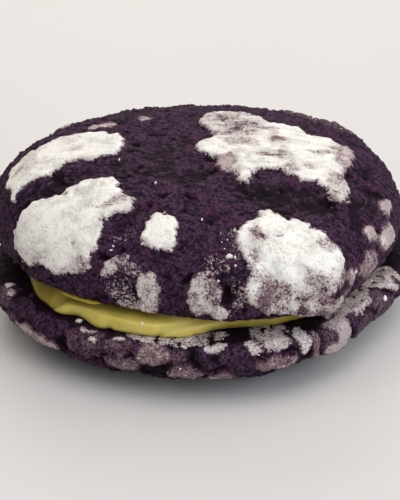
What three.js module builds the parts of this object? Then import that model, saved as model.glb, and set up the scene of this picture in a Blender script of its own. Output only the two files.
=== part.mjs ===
// A sandwich of two dark purple yam crinkle cookies with pale yellow cream between their flat faces.
// The upper cookie stands dome up and the lower one lies dome down, so the cream meets two flat faces.
// Millimetres, +Z up. The origin is on the table, under the middle of the sandwich.

import * as THREE from "three";
import { ImprovedNoise } from "three/addons/math/ImprovedNoise.js";

// Driving dimensions of the sandwich
const UPPER_RADIUS = 36;
const UPPER_HEIGHT = 15.5;
const LOWER_RADIUS = 37.1;
const LOWER_HEIGHT = 10.5;
const CREAM_GAP = 3.6;
const CONTACT_GAP = 0.3;
const FRONT_LEAN = 0.0123;
const RIGHT_LEAN = 0.0209;
const UPPER_PLACE = { x: -0.5, y: 1.5 };
const LOWER_PLACE = { x: -0.5, y: 0.2 };
const CREAM_PLACE = { x: -2.4, y: -0.1 };

// The crust: superellipse powers of the dome, the roll under at its edge, and the pressed resting spot
const DOME_POWER = { across: 2.8, upright: 2.7 };
const EDGE_ROLL = 1.8;
const EDGE_FADE = 3.2;
const RESTING_PRESS = 0.45;

// How each outline strays from a circle: waves round the edge, cosine and sine shares of the radius
const UPPER_WAVES = [
  { count: 2, cos: 0.02, sin: 0.013 },
  { count: 3, cos: -0.031, sin: 0.012 },
  { count: 4, cos: -0.009, sin: 0.014 },
  { count: 9, cos: 0.004, sin: -0.003 },
];
const LOWER_WAVES = [
  { count: 2, cos: 0.009, sin: -0.01 },
  { count: 3, cos: 0.015, sin: -0.014 },
  { count: 4, cos: -0.009, sin: -0.017 },
  { count: 11, cos: 0.003, sin: 0.004 },
];
const CREAM_WAVES = [
  { count: 2, cos: 0.012, sin: -0.016 },
  { count: 5, cos: -0.012, sin: 0.008 },
  { count: 8, cos: 0.007, sin: 0.009 },
  { count: 13, cos: -0.005, sin: 0.004 },
];

// The cream: its reach, how far its side bulges, and the fold that climbs its side at the front left, above
// which the side lies further in
const CREAM_RADIUS = 31.4;
const CREAM_BULGE = 1.5;
const CREAM_FOLD = { from: 225.5, to: 268, climb: 3.4, highest: 0.34, softness: 0.14, depth: 2.4 };

// Stretches of an outline between two bearings that reach further out, or less far where below zero, with the
// half widths of their two ends. A cookie's stretches grow in over the outer share of its radius.
const UPPER_STRETCHES = [
  { from: -62, to: -53, rise: 5, fall: 4, reach: 1.9 },
  { from: -46, to: -28, rise: 5, fall: 6, reach: -0.9 },
  { from: 18, to: 38, rise: 6, fall: 5, reach: -0.5 },
  { from: 46, to: 62, rise: 5, fall: 5, reach: 1.1 },
  { from: 108, to: 132, rise: 6, fall: 6, reach: -0.9 },
  { from: 180, to: 212, rise: 8, fall: 7, reach: -1.4 },
];
const LOWER_STRETCHES = [
  { from: -44, to: -23, rise: 7, fall: 7, reach: -1.5 },
  { from: -118, to: -100, rise: 7, fall: 7, reach: -0.6 },
  { from: -150, to: -122, rise: 8, fall: 6, reach: -0.8 },
];
const STRETCH_FROM = 0.8;
const CREAM_FOOT_STRETCHES = [
  { from: 186, to: 207, rise: 8, fall: 4, reach: -2.6 },
  { from: 211, to: 231, rise: 4, fall: 5, reach: 2.1 },
  { from: 238, to: 270, rise: 6, fall: 7, reach: 2.9 },
  { from: 291, to: 309, rise: 7, fall: 9, reach: 3.0 },
];
const CREAM_LID_STRETCHES = [
  { from: 186, to: 207, rise: 8, fall: 4, reach: -2.6 },
  { from: 246, to: 309, rise: 10, fall: 9, reach: 1.7 },
];

// Crust relief: sugar plates stand up where the dusted skin stayed whole, and the dough between is craggy
const PLATE_RISE = 0.75;
const PLATE_SHOULDER = 1.1;
const LOBE_BLEND = 0.9;
const KNOB_RISE = 1.2;
const KNOB_SHOULDER = 1.2;
const CRUMB_SIZE = 3.4;
const FINE_CRUMB_SHARE = 0.5;
const UPPER_CRUMB_DEPTH = 0.45;
const LOWER_CRUMB_DEPTH = 0.27;
const PLATE_CALM = 0.65;

// Triangle sizes: on the upper crust, on the lower crust's crown and side and the shares of its radius
// between which they change, along the cream's side, and the growth of a flat face's rings inwards
const UPPER_STEP = 1.55;
const LOWER_CROWN_STEP = 2.6;
const LOWER_SIDE_STEP = 1.4;
const LOWER_SIDE_FROM = 0.5;
const LOWER_SIDE_TO = 0.9;
const CREAM_SIDE_STEP = 1.7;
const CREAM_SIDE_RINGS = 8;
const FACE_STEP_GROWTH = 1.6;
const PROFILE_STEPS = 160;
const ROLL_STEPS = 20;

// Lobes of the sugar plates on the upper crust, as x, y, half length, half width and turn in degrees.
// x and y are distances along the crust from the crown, as on a skin peeled off and laid flat.
const UPPER_PLATES = [
  [-27.7, -2.3, 7.2, 5.7, 42],
  [-24.0, 2.7, 4.4, 4.5, 0],
  [-18.7, 1.4, 5.1, 5.4, 0],
  [-26.9, -21.2, 8.0, 6.4, -24],
  [-19.2, -18.2, 4.7, 6.0, 0],
  [-22.9, -26.8, 5.4, 5.5, 0],
  [-14.6, -20.5, 3.0, 2.4, 10],
  [-7.1, -28.2, 2.6, 4.5, 8],
  [5.0, 12.2, 5.8, 5.6, 15],
  [6.6, 6.4, 4.6, 4.0, 0],
  [4.6, -0.6, 5.8, 4.0, 0],
  [12.6, 1.4, 6.4, 9.9, -10],
  [20.4, -1.7, 4.5, 9.6, -2],
  [16.8, -8.6, 2.8, 2.4, 0],
  [24.0, -11.4, 2.6, 4.4, -12],
  [7.0, -8.6, 1.7, 4.9, -4],
  [4.4, -6.4, 1.8, 3.4, -10],
  [24.8, 1.2, 2.3, 5.2, -6],
  [12.9, -29.3, 7.5, 6.4, -10],
  [18.5, -30.3, 6.0, 5.3, -24],
  [22.4, -33.6, 3.8, 3.8, -30],
  [18.2, -36.6, 4.6, 2.8, 10],
  [12.4, -37.2, 5.0, 3.8, 0],
  [-15.4, -33.4, 3.1, 1.2, 14],
  [-9.7, -38.8, 2.1, 2.8, 10],
  [0.3, -39.2, 2.9, 3.5, -20],
  [2.6, -42.2, 2.4, 1.3, -12],
  [34.4, -9.2, 1.5, 3.0, -20],
  [30.8, -19.1, 2.0, 1.3, 33],
  [36.5, -14.9, 1.8, 4.2, -30],
  [32.9, -24.2, 2.1, 4.5, -42],
  [26.6, -30.4, 1.2, 3.0, -25],
  [21.0, 21.5, 8.0, 5.0, -42],
  [-9.0, 37.0, 7.0, 4.2, 10],
  [12.0, 38.0, 6.0, 3.6, -15],
  [28.0, 28.0, 4.2, 5.4, 45],
  [-26.0, 28.0, 4.8, 5.6, -45],
];

// Broad hollows of the upper crust, laid out in the same way, with their depth last
const UPPER_HOLLOWS = [
  [14.0, -16.6, 9.0, 3.6, -4, 1.0],
  [-26.0, -11.4, 8.0, 2.4, 28, 0.7],
  [-6.0, -8.0, 10.0, 6.0, 30, 0.4],
  [29.4, -12.0, 2.4, 8.0, -20, 0.6],
];

// Knobs on the lower crust that show at the front: bearing, drop below the edge, half width, half height
const LOWER_FRONT_KNOBS = [
  [-154, 1.8, 3.0, 2.4],
  [-148.5, 5.0, 2.6, 2.0],
  [-144.5, 1.6, 3.4, 2.0],
  [-138.5, 5.3, 6.4, 1.8],
  [-133.5, 1.8, 4.0, 2.0],
  [-122.5, 7.0, 4.2, 1.8],
  [-121, 2.6, 4.2, 3.0],
  [-111.4, 2.2, 2.9, 2.2],
  [-110.5, 5.2, 3.6, 2.1],
  [-102.6, 2.7, 3.4, 2.4],
  [-96, 2.6, 1.9, 1.8],
  [-94, 5.8, 3.2, 2.0],
  [-87.2, 2.4, 2.8, 2.4],
  [-84.5, 7.0, 2.8, 1.6],
  [-80, 4.2, 2.7, 3.4],
  [-76.4, 1.2, 1.8, 1.9],
  [-70.4, 0.9, 3.0, 1.8],
  [-71, 4.6, 4.2, 1.9],
  [-63.2, 1.7, 1.7, 2.6],
  [-59.6, 3.2, 1.2, 2.8],
  [-52.2, 3.0, 3.8, 4.2],
  [-42, 1.6, 3.4, 2.2],
  [-38, 5.0, 4.0, 2.6],
  [-31, 1.6, 3.2, 2.2],
  [-26, 5.0, 3.8, 2.6],
  [-19, 1.6, 3.6, 2.2],
];

// Knobs round the rest of the lower crust, in rows placed by rule, and the whole plate at its crown
const LOWER_KNOB_ROWS = [
  { from: -8, to: 198, drop: 2.6, pitch: 6.6 },
  { from: -14, to: 206, drop: 7.8, pitch: 7.6 },
  { from: -180, to: 180, drop: 13.5, pitch: 8.6 },
  { from: -180, to: 180, drop: 20.5, pitch: 9.0 },
];
const LOWER_CROWN_PLATE = 17;
const ROW_HALF_WIDTH = 0.43;
const ROW_HALF_HEIGHT = 2.4;
const ROW_JITTER = 0.5;
const KNOB_SEED = 11;

const FINISHES = {
  dough: { color: 0x4a3450, roughness: 0.92, metalness: 0 },
  cream: { color: 0xdcca84, roughness: 0.5, metalness: 0 },
};

const { clamp, degToRad, euclideanModulo, lerp, radToDeg, seededRandom, smoothstep } = THREE.MathUtils;
const noise = new ImprovedNoise();

// Radius factor of a wavy outline at an angle
function waveFactor(waves, angle) {
  let factor = 1;
  for (const { count, cos, sin } of waves) {
    factor += cos * Math.cos(count * angle) + sin * Math.sin(count * angle);
  }
  return factor;
}

// The distance that stretches add to an outline at a bearing in degrees
function stretchReach(stretches, bearing) {
  let added = 0;
  for (const { from, to, rise, fall, reach } of stretches) {
    const half = (to - from) / 2;
    const away = euclideanModulo(bearing - from - half + 180, 360) - 180;
    const started = smoothstep(away + half, -rise, rise);
    const ended = smoothstep(away - half, -fall, fall);
    added += reach * (started - ended);
  }
  return added;
}

// The crust's section from the crown to the rim of the flat face, with the travel along it and its normal
function crustSection(radius, height) {
  const section = [];
  for (let i = 0; i <= PROFILE_STEPS; i += 1) {
    const turn = (Math.PI / 2) * (i / PROFILE_STEPS);
    section.push({
      radius: radius * Math.sin(turn) ** (2 / DOME_POWER.across),
      height: EDGE_ROLL + (height - EDGE_ROLL) * Math.abs(Math.cos(turn)) ** (2 / DOME_POWER.upright),
    });
  }
  for (let i = 1; i <= ROLL_STEPS; i += 1) {
    const turn = (Math.PI / 2) * (i / ROLL_STEPS);
    section.push({
      radius: radius - EDGE_ROLL * (1 - Math.cos(turn)),
      height: EDGE_ROLL * (1 - Math.sin(turn)),
    });
  }
  let travel = 0;
  section.forEach((point, i) => {
    const before = section[Math.max(i - 1, 0)];
    const after = section[Math.min(i + 1, section.length - 1)];
    const chord = Math.hypot(after.radius - before.radius, after.height - before.height);
    travel += Math.hypot(point.radius - before.radius, point.height - before.height);
    point.travel = travel;
    point.outward = (before.height - after.height) / chord;
    point.upward = (after.radius - before.radius) / chord;
  });
  return section;
}

// The point of a crust section at a travel from the crown
function sectionAt(section, travel) {
  const next = section.findIndex((point) => point.travel >= travel);
  const high = section[Math.max(next, 1)];
  const low = section[Math.max(next, 1) - 1];
  const part = (travel - low.travel) / (high.travel - low.travel);
  const found = {};
  for (const key of Object.keys(high)) {
    found[key] = lerp(low[key], high[key], part);
  }
  return found;
}

// How deep a point lies inside an ellipse, in millimetres, and less than zero outside
function depthInEllipse(along, aside, halfLength, halfWidth) {
  const scaled = Math.hypot(along / halfLength, aside / halfWidth);
  const slope = Math.hypot(along / halfLength ** 2, aside / halfWidth ** 2);
  return slope > 0 ? (scaled * (1 - scaled)) / slope : Math.min(halfLength, halfWidth);
}

// The same depth for an ellipse that is moved and turned on the peeled skin
function depthInLobe(x, y, [centreX, centreY, halfLength, halfWidth, turn]) {
  const cos = Math.cos(degToRad(turn));
  const sin = Math.sin(degToRad(turn));
  const along = (x - centreX) * cos + (y - centreY) * sin;
  const aside = (y - centreY) * cos - (x - centreX) * sin;
  return depthInEllipse(along, aside, halfLength, halfWidth);
}

// Craggy crumb, from about -1 to 1, in two sizes
function crumb(x, y, z) {
  const coarse = noise.noise(x / CRUMB_SIZE, y / CRUMB_SIZE, z / CRUMB_SIZE);
  const fine = noise.noise((2 * x) / CRUMB_SIZE, (2 * y) / CRUMB_SIZE, (2 * z) / CRUMB_SIZE);
  return coarse + FINE_CRUMB_SHARE * fine;
}

// Relief of the upper crust: plates that run together, hollows between them, and crumb
function upperRelief(at, angle) {
  const x = at.travel * Math.cos(angle);
  const y = at.travel * Math.sin(angle);
  let sum = 0;
  for (const lobe of UPPER_PLATES) {
    sum += Math.exp(depthInLobe(x, y, lobe) / LOBE_BLEND);
  }
  const plate = smoothstep(LOBE_BLEND * Math.log(sum), -PLATE_SHOULDER, PLATE_SHOULDER);
  let hollow = 0;
  for (const place of UPPER_HOLLOWS) {
    const depth = depthInLobe(x, y, place);
    hollow += place[5] * smoothstep(depth, -place[3], place[3]);
  }
  const roughness = UPPER_CRUMB_DEPTH * (1 - PLATE_CALM * plate);
  return PLATE_RISE * plate - hollow * (1 - plate) + roughness * crumb(x, y, at.height);
}

// Every knob of the lower crust: those at the front, then the rows, each a little out of line
function lowerKnobs() {
  const knobs = LOWER_FRONT_KNOBS.map(([bearing, drop, wide, tall]) => ({ bearing, drop, wide, tall }));
  let seed = KNOB_SEED;
  for (const { from, to, drop, pitch } of LOWER_KNOB_ROWS) {
    const rowRadius = LOWER_RADIUS - Math.max(drop - LOWER_HEIGHT / 2, 0);
    const count = Math.round((degToRad(to - from) * rowRadius) / pitch);
    for (let i = 0; i < count; i += 1) {
      const draws = [0, 1, 2, 3].map((k) => seededRandom(seed + k) - 0.5);
      seed += draws.length;
      knobs.push({
        bearing: from + ((to - from) * (i + 0.5 + ROW_JITTER * draws[0])) / count,
        drop: drop + 2 * ROW_JITTER * draws[1],
        wide: pitch * ROW_HALF_WIDTH * (1 + ROW_JITTER * draws[2]),
        tall: ROW_HALF_HEIGHT * (1 + ROW_JITTER * draws[3]),
      });
    }
  }
  return knobs;
}

// Relief of the lower crust: separate knobs with cracks between them, and crumb.
// The cookie lies upside down, so a bearing seen from above is mirrored on its own crust.
function lowerRelief(knobs, at, angle, fullTravel) {
  let best = LOWER_CROWN_PLATE - at.travel;
  for (const { bearing, drop, wide, tall } of knobs) {
    const turn = Math.atan2(Math.sin(-angle - degToRad(bearing)), Math.cos(-angle - degToRad(bearing)));
    const depth = depthInEllipse(turn * at.radius, fullTravel - at.travel - drop, wide, tall);
    best = Math.max(best, depth);
  }
  const x = at.travel * Math.cos(angle);
  const y = at.travel * Math.sin(angle);
  const knob = smoothstep(best, -KNOB_SHOULDER, KNOB_SHOULDER) - 0.5;
  return KNOB_RISE * knob + LOWER_CRUMB_DEPTH * crumb(x, y, at.height + LOWER_RADIUS);
}

// One ring of points round the axis, about a step apart, and turned half a step against its neighbour
function ring(index, radius, step, place) {
  const count = Math.max(Math.round((2 * Math.PI * radius) / step), 1);
  const angles = Array.from({ length: count }, (unused, i) => (2 * Math.PI * (i + (index % 2) / 2)) / count);
  return angles.map((angle) => ({ angle, point: place(angle) }));
}

// A closed skin over rings that run from the point at the top to the point underneath
function skinOverRings(rings) {
  const corners = [];
  const faces = [];
  const numbered = rings.map((points) => {
    return points.map(({ angle, point }) => ({ angle, index: corners.push(point) - 1 }));
  });
  for (let k = 1; k < numbered.length; k += 1) {
    const above = numbered[k - 1];
    const below = numbered[k];
    const turnsOf = (points, i) => 2 * Math.PI * Math.floor(i / points.length);
    const angleOf = (points, i) => points[i % points.length].angle + turnsOf(points, i);
    const indexOf = (points, i) => points[i % points.length].index;
    const aboveSteps = above.length > 1 ? above.length : 0;
    const belowSteps = below.length > 1 ? below.length : 0;
    let i = 0;
    let j = 0;
    while (i < aboveSteps || j < belowSteps) {
      const stepBelow = i >= aboveSteps || (j < belowSteps && angleOf(below, j + 1) <= angleOf(above, i + 1));
      const third = stepBelow ? indexOf(below, j + 1) : indexOf(above, i + 1);
      faces.push(indexOf(above, i), indexOf(below, j), third);
      if (stepBelow) {
        j += 1;
      } else {
        i += 1;
      }
    }
  }
  const skin = new THREE.BufferGeometry().setFromPoints(corners);
  skin.setIndex(faces);
  skin.computeVertexNormals();
  return skin;
}

// Radii of the rings that cover a flat face from its rim to its middle, each step wider than the last
function faceRadii(rim, firstStep) {
  const radii = [];
  let step = firstStep;
  for (let radius = rim - step; radius > step / 2; radius -= step) {
    radii.push({ radius, step });
    step *= FACE_STEP_GROWTH;
  }
  return radii;
}

function polarPoint(radius, angle, height) {
  return new THREE.Vector3(radius * Math.cos(angle), radius * Math.sin(angle), height);
}

// A cookie with its dome up and its flat face at z = 0
function cookieGeometry({ radius, height, waves, stretches, bearingAt, stepAt, relief, ceiling }) {
  const section = crustSection(radius, height);
  const rim = section[section.length - 1];
  const fullTravel = rim.travel;
  const reachAt = (plainRadius, angle) => {
    const nearEdge = smoothstep(plainRadius / radius, STRETCH_FROM, 1);
    return plainRadius * waveFactor(waves, angle) + nearEdge * stretchReach(stretches, bearingAt(angle));
  };
  const crustPoint = (at) => (angle) => {
    const fade = smoothstep(fullTravel - at.travel, 0, EDGE_FADE);
    const lift = relief(at, angle, fullTravel) * fade;
    const reach = reachAt(at.radius, angle) + lift * at.outward;
    return polarPoint(reach, angle, clamp(at.height + lift * at.upward, 0, ceiling));
  };
  const rings = [];
  let travel = 0;
  while (travel < fullTravel - stepAt(rim) / 2) {
    const at = sectionAt(section, travel);
    rings.push(ring(rings.length, at.radius, stepAt(at), crustPoint(at)));
    travel += stepAt(at);
  }
  rings.push(ring(rings.length, rim.radius, stepAt(rim), crustPoint(rim)));
  for (const face of faceRadii(rim.radius, stepAt(rim))) {
    const facePoint = (angle) => polarPoint(reachAt(face.radius, angle), angle, 0);
    rings.push(ring(rings.length, face.radius, face.step, facePoint));
  }
  rings.push(ring(0, 0, 1, (angle) => polarPoint(0, angle, 0)));
  return skinOverRings(rings);
}

function upperCookie() {
  return cookieGeometry({
    radius: UPPER_RADIUS,
    height: UPPER_HEIGHT,
    waves: UPPER_WAVES,
    stretches: UPPER_STRETCHES,
    bearingAt: radToDeg,
    stepAt: () => UPPER_STEP,
    relief: upperRelief,
    ceiling: Infinity,
  });
}

// The lower cookie's crown is pressed flat by the weight on it, so that it rests on one flat spot
function lowerCookie() {
  const knobs = lowerKnobs();
  const sideShare = (at) => smoothstep(at.radius / LOWER_RADIUS, LOWER_SIDE_FROM, LOWER_SIDE_TO);
  return cookieGeometry({
    radius: LOWER_RADIUS,
    height: LOWER_HEIGHT + RESTING_PRESS,
    waves: LOWER_WAVES,
    stretches: LOWER_STRETCHES,
    bearingAt: (angle) => -radToDeg(angle),
    stepAt: (at) => lerp(LOWER_CROWN_STEP, LOWER_SIDE_STEP, sideShare(at)),
    relief: (at, angle, fullTravel) => lowerRelief(knobs, at, angle, fullTravel),
    ceiling: LOWER_HEIGHT,
  });
}

// Radius factor of the cream's outline at a share of the way down its side
function creamFactor(angle, down) {
  const lid = stretchReach(CREAM_LID_STRETCHES, radToDeg(angle));
  const foot = stretchReach(CREAM_FOOT_STRETCHES, radToDeg(angle));
  return waveFactor(CREAM_WAVES, angle) + lerp(lid, foot, smoothstep(down, 0.1, 0.9)) / CREAM_RADIUS;
}

// How far in the cream's side lies above its fold
function foldInset(angle, down) {
  const { from, to, climb, highest, softness, depth } = CREAM_FOLD;
  const bearing = radToDeg(angle);
  const crease = lerp(highest, 1, Math.exp(-Math.max(bearing - from, 0) / climb));
  const above = 1 - smoothstep(down, crease - softness, crease + softness);
  const begun = smoothstep(bearing, from - 1, from + 1);
  const left = 1 - smoothstep(bearing, (from + to) / 2, to);
  return depth * above * begun * left;
}

// The cream: flat below, leaning above with the upper cookie, and with a wavy bulging side that has a fold
function creamFilling() {
  const offset = { x: CREAM_PLACE.x - UPPER_PLACE.x, y: CREAM_PLACE.y - UPPER_PLACE.y };
  const lidHeight = CREAM_GAP - CONTACT_GAP;
  const lidAt = ({ x, y }) => lidHeight + (y + offset.y) * FRONT_LEAN - (x + offset.x) * RIGHT_LEAN;
  const place = (radius, angle, down) => {
    const point = polarPoint(radius * creamFactor(angle, down), angle, 0);
    point.z = lerp(CONTACT_GAP, lidAt(point), (1 + Math.cos(Math.PI * down)) / 2);
    return point;
  };
  const sidePoint = (down) => (angle) => {
    const bulge = CREAM_BULGE * Math.sin(Math.PI * down) - foldInset(angle, down);
    return place(CREAM_RADIUS - CREAM_BULGE + bulge, angle, down);
  };
  const faces = faceRadii(CREAM_RADIUS - CREAM_BULGE, CREAM_SIDE_STEP);
  const rings = [ring(0, 0, 1, (angle) => place(0, angle, 0))];
  for (const { radius, step } of faces.toReversed()) {
    rings.push(ring(rings.length, radius, step, (angle) => place(radius, angle, 0)));
  }
  for (let i = 0; i <= CREAM_SIDE_RINGS; i += 1) {
    rings.push(ring(rings.length, CREAM_RADIUS, CREAM_SIDE_STEP, sidePoint(i / CREAM_SIDE_RINGS)));
  }
  for (const { radius, step } of faces) {
    rings.push(ring(rings.length, radius, step, (angle) => place(radius, angle, 1)));
  }
  rings.push(ring(0, 0, 1, (angle) => place(0, angle, 1)));
  return skinOverRings(rings);
}

function namedMesh(name, geometry, finish) {
  const mesh = new THREE.Mesh(geometry, new THREE.MeshStandardMaterial(finish));
  mesh.name = name;
  return mesh;
}

const sandwich = new THREE.Group();

const lower = namedMesh("bottom_cookie", lowerCookie(), FINISHES.dough);
lower.rotation.x = Math.PI;
lower.position.set(LOWER_PLACE.x, LOWER_PLACE.y, LOWER_HEIGHT);
sandwich.add(lower);

const cream = namedMesh("cream_filling", creamFilling(), FINISHES.cream);
cream.position.set(CREAM_PLACE.x, CREAM_PLACE.y, LOWER_HEIGHT);
sandwich.add(cream);

const upper = namedMesh("top_cookie", upperCookie(), FINISHES.dough);
upper.rotation.set(FRONT_LEAN, RIGHT_LEAN, 0);
upper.position.set(UPPER_PLACE.x, UPPER_PLACE.y, LOWER_HEIGHT + CREAM_GAP);
sandwich.add(upper);

export default sandwich;
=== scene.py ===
"""A sandwich of two purple crinkle cookies with pale cream between them, dressed for a studio picture.

Shapes are worked out in millimetres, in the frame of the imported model, and become metres when a mesh is made.
The peeled skin of a cookie is its crust laid flat: a point on it lies as far from the middle as the crust is
long from the top of the dome down to that point.
"""

import logging
import math
from dataclasses import dataclass
from enum import Enum
from itertools import product
from typing import ClassVar

import bmesh
import bpy
import numpy as np
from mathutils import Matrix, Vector


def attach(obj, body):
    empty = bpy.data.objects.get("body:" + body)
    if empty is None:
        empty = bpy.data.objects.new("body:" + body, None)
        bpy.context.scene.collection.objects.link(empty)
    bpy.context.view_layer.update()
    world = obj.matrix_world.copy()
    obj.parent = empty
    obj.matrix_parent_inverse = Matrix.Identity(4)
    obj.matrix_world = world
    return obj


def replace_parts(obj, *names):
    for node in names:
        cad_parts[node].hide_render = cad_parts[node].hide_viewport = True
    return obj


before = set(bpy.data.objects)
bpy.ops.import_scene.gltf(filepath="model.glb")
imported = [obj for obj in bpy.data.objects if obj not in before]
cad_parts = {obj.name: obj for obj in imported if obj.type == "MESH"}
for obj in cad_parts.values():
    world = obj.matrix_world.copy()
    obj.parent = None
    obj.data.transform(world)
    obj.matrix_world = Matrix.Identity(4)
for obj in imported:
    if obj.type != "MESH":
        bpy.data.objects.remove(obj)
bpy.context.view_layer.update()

LOG = logging.getLogger("cookie_sandwich")
METRES = 0.001
TINY = 1e-9
FULL_TURN = 2.0 * math.pi
BAKE_MAP = "OFBake"
SUGAR_LAYER = "sugar"
BLOOM_LAYER = "bloom"
# The last two layers carry painted shade: darker pits and cracks on the crust, and darker cream where shade
# falls under the crusts.
PIT_SHADE_LAYER = "pit_shade"
CREAM_SHADE_LAYER = "cream_shade"

Numbers = np.ndarray
Socket = bpy.types.NodeSocket
Span = tuple[float, float]
Colour = tuple[float, float, float]
Place = tuple[float, float, float]
CrumbPlace = tuple[float, float, float]
Spot = tuple[Numbers, float]


class Dusting(Enum):
    """How icing sugar lies on a plate or a knob: the shares of a full coat and of the soft bloom under it."""

    FULL = (1.0, 0.6)
    WORN = (0.8, 0.6)
    THIN = (0.56, 0.6)
    SPARSE = (0.49, 0.6)
    # A thin coat with little bloom, painted greyer as painted shade on the ledge under the upper cookie.
    SHADED_LEDGE = (0.45, 0.2)
    VEIL = (0.25, 1.05)
    HAZE = (0.14, 0.95)
    MILKY = (0.52, 0.9)
    FILM = (0.15, 0.66)
    BLOOM = (0.06, 0.3)
    BLUSH = (0.0, 0.28)
    BARE = (0.0, 0.0)

    def __init__(self, sugar: float, bloom: float) -> None:
        """Keeps the two shares.

        Args:
            sugar: The share of a full coat.
            bloom: The share of soft bloom, where sugar has soaked into the skin.
        """
        self.sugar = sugar
        self.bloom = bloom


def ease(values: Numbers, low: float, high: float) -> Numbers:
    """Gives a smooth step.

    Args:
        values: Numbers to step on.
        low: Where the step starts from 0.
        high: Where the step reaches 1.

    Returns:
        The step's height for each value.
    """
    share = np.clip((values - low) / (high - low), 0.0, 1.0)
    return share * share * (3.0 - 2.0 * share)


def depth_in_ellipse(along: Numbers, aside: Numbers, half_length: float, half_width: float) -> Numbers:
    """Measures how far points lie inside an ellipse.

    Args:
        along: Distances from the middle along the ellipse.
        aside: Distances from the middle across it.
        half_length: Half the ellipse's length.
        half_width: Half its width.

    Returns:
        About the distance to the edge, less than zero outside.
    """
    scaled = np.hypot(along / half_length, aside / half_width)
    slope = np.hypot(along / half_length**2, aside / half_width**2)
    return scaled * (1.0 - scaled) / np.maximum(slope, TINY)


def polar_points(radius: Numbers, angle: Numbers, height: Numbers) -> Numbers:
    """Turns radius, angle and height into rows of x, y and z."""
    return np.stack([radius * np.cos(angle), radius * np.sin(angle), height], axis=1)


def seeded_draw(seed: int) -> float:
    """Draws one number from a seed, with the same 32-bit mixing that places the knobs of the solid.

    Args:
        seed: The seed of this draw.

    Returns:
        A number from 0 to 1.
    """
    mask, step = 0xFFFFFFFF, 0x6D2B79F5
    mixed = (seed + step) & mask
    mixed = ((mixed ^ (mixed >> 15)) * (mixed | 1)) & mask
    mixed ^= (mixed + (((mixed ^ (mixed >> 7)) * (mixed | 61)) & mask)) & mask
    return (mixed ^ (mixed >> 14)) / (mask + 1)


class Grain:
    """Smooth seeded noise in space, from about -1 to 1."""

    LATTICE = 256
    DIRECTIONS = np.array([way for way in product((-1.0, 0.0, 1.0), repeat=3) if way.count(0.0) == 1])

    def __init__(self, seed: int) -> None:
        """Shuffles the lattice.

        Args:
            seed: Picks the shuffle.
        """
        order = np.random.default_rng(seed).permutation(self.LATTICE)
        self.order = np.concatenate([order, order])

    def at(self, points: Numbers, size: float) -> Numbers:
        """Gives the noise at points.

        Args:
            points: Rows of x, y and z.
            size: The width of one swell of the noise.

        Returns:
            One number for each point.
        """
        scaled = points / size
        cell = np.floor(scaled).astype(int)
        inside = scaled - cell
        fade = inside**3 * (inside * (inside * 6.0 - 15.0) + 10.0)
        cell %= self.LATTICE
        total = np.zeros(len(points))
        for corner in np.ndindex(2, 2, 2):
            x, y, z = ((cell + corner) % self.LATTICE).T
            hashed = self.order[self.order[self.order[x] + y] + z] % len(self.DIRECTIONS)
            pull = ((inside - corner) * self.DIRECTIONS[hashed]).sum(axis=1)
            total += pull * np.prod(np.where(corner, fade, 1.0 - fade), axis=1)
        return total

    def layered(self, points: Numbers, size: float, layers: int) -> Numbers:
        """Adds finer and fainter layers of the noise.

        Args:
            points: Rows of x, y and z.
            size: The width of the widest swell.
            layers: How many layers, each half as wide and half as high as the one before.

        Returns:
            One number for each point.
        """
        return sum(self.at(points, size / 2**layer) / 2**layer for layer in range(layers))

    def lumps(self, points: Numbers, size: float) -> Numbers:
        """Gives rounded lumps from 0 to about 1 with narrow creases between them."""
        return np.abs(self.at(points, size))


@dataclass(frozen=True)
class Wave:
    """One wave of an outline round its edge, with its shares of the radius."""

    count: int
    cos: float
    sin: float

    def at(self, angle: Numbers) -> Numbers:
        """Gives the wave's share of the radius at angles round the axis."""
        return self.cos * np.cos(self.count * angle) + self.sin * np.sin(self.count * angle)


@dataclass(frozen=True)
class Bulge:
    """A stretch of an outline that reaches further out, or less far where its reach is less than zero."""

    start: float
    end: float
    rise: float
    fall: float
    reach: float

    def at(self, bearing: Numbers) -> Numbers:
        """Works out the stretch's reach.

        Args:
            bearing: Bearings in degrees.

        Returns:
            The distance outwards at each bearing.
        """
        half = 0.5 * (self.end - self.start)
        away = np.mod(bearing - self.start - half + 180.0, 360.0) - 180.0
        started = ease(away + half, -self.rise, self.rise)
        return self.reach * (started - ease(away - half, -self.fall, self.fall))


def wave_factor(waves: tuple[Wave, ...], angle: Numbers) -> Numbers:
    """Gives how an outline strays from a circle.

    Args:
        waves: The outline's waves.
        angle: Angles round the axis.

    Returns:
        The factor on the radius at each angle.
    """
    return 1.0 + sum(wave.at(angle) for wave in waves)


@dataclass(frozen=True)
class Lobe:
    """An ellipse on the peeled skin, in millimetres and degrees."""

    x: float
    y: float
    half_length: float
    half_width: float
    turn: float

    def depth(self, x: Numbers, y: Numbers) -> Numbers:
        """Measures how far points of the peeled skin lie inside the ellipse.

        Args:
            x: Places along x on the peeled skin.
            y: Places along y on it.

        Returns:
            About the distance to the edge, less than zero outside.
        """
        cos = math.cos(math.radians(self.turn))
        sin = math.sin(math.radians(self.turn))
        along = (x - self.x) * cos + (y - self.y) * sin
        aside = (y - self.y) * cos - (x - self.x) * sin
        return depth_in_ellipse(along, aside, self.half_length, self.half_width)


@dataclass(frozen=True)
class Plate(Lobe):
    """Part of a plate of whole skin that carries sugar."""

    dusting: Dusting


@dataclass(frozen=True)
class Hollow(Lobe):
    """A broad dip of the crust between plates."""

    sink: float

    def dip(self, x: Numbers, y: Numbers) -> Numbers:
        """Gives how far the crust sinks at places of the peeled skin."""
        return self.sink * ease(self.depth(x, y), -self.half_width, self.half_width)


@dataclass(frozen=True)
class Patch(Lobe):
    """A place where sugar and bloom are added, or rubbed off where the share is less than zero."""

    share: float
    bloom: float = 0.0


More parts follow.
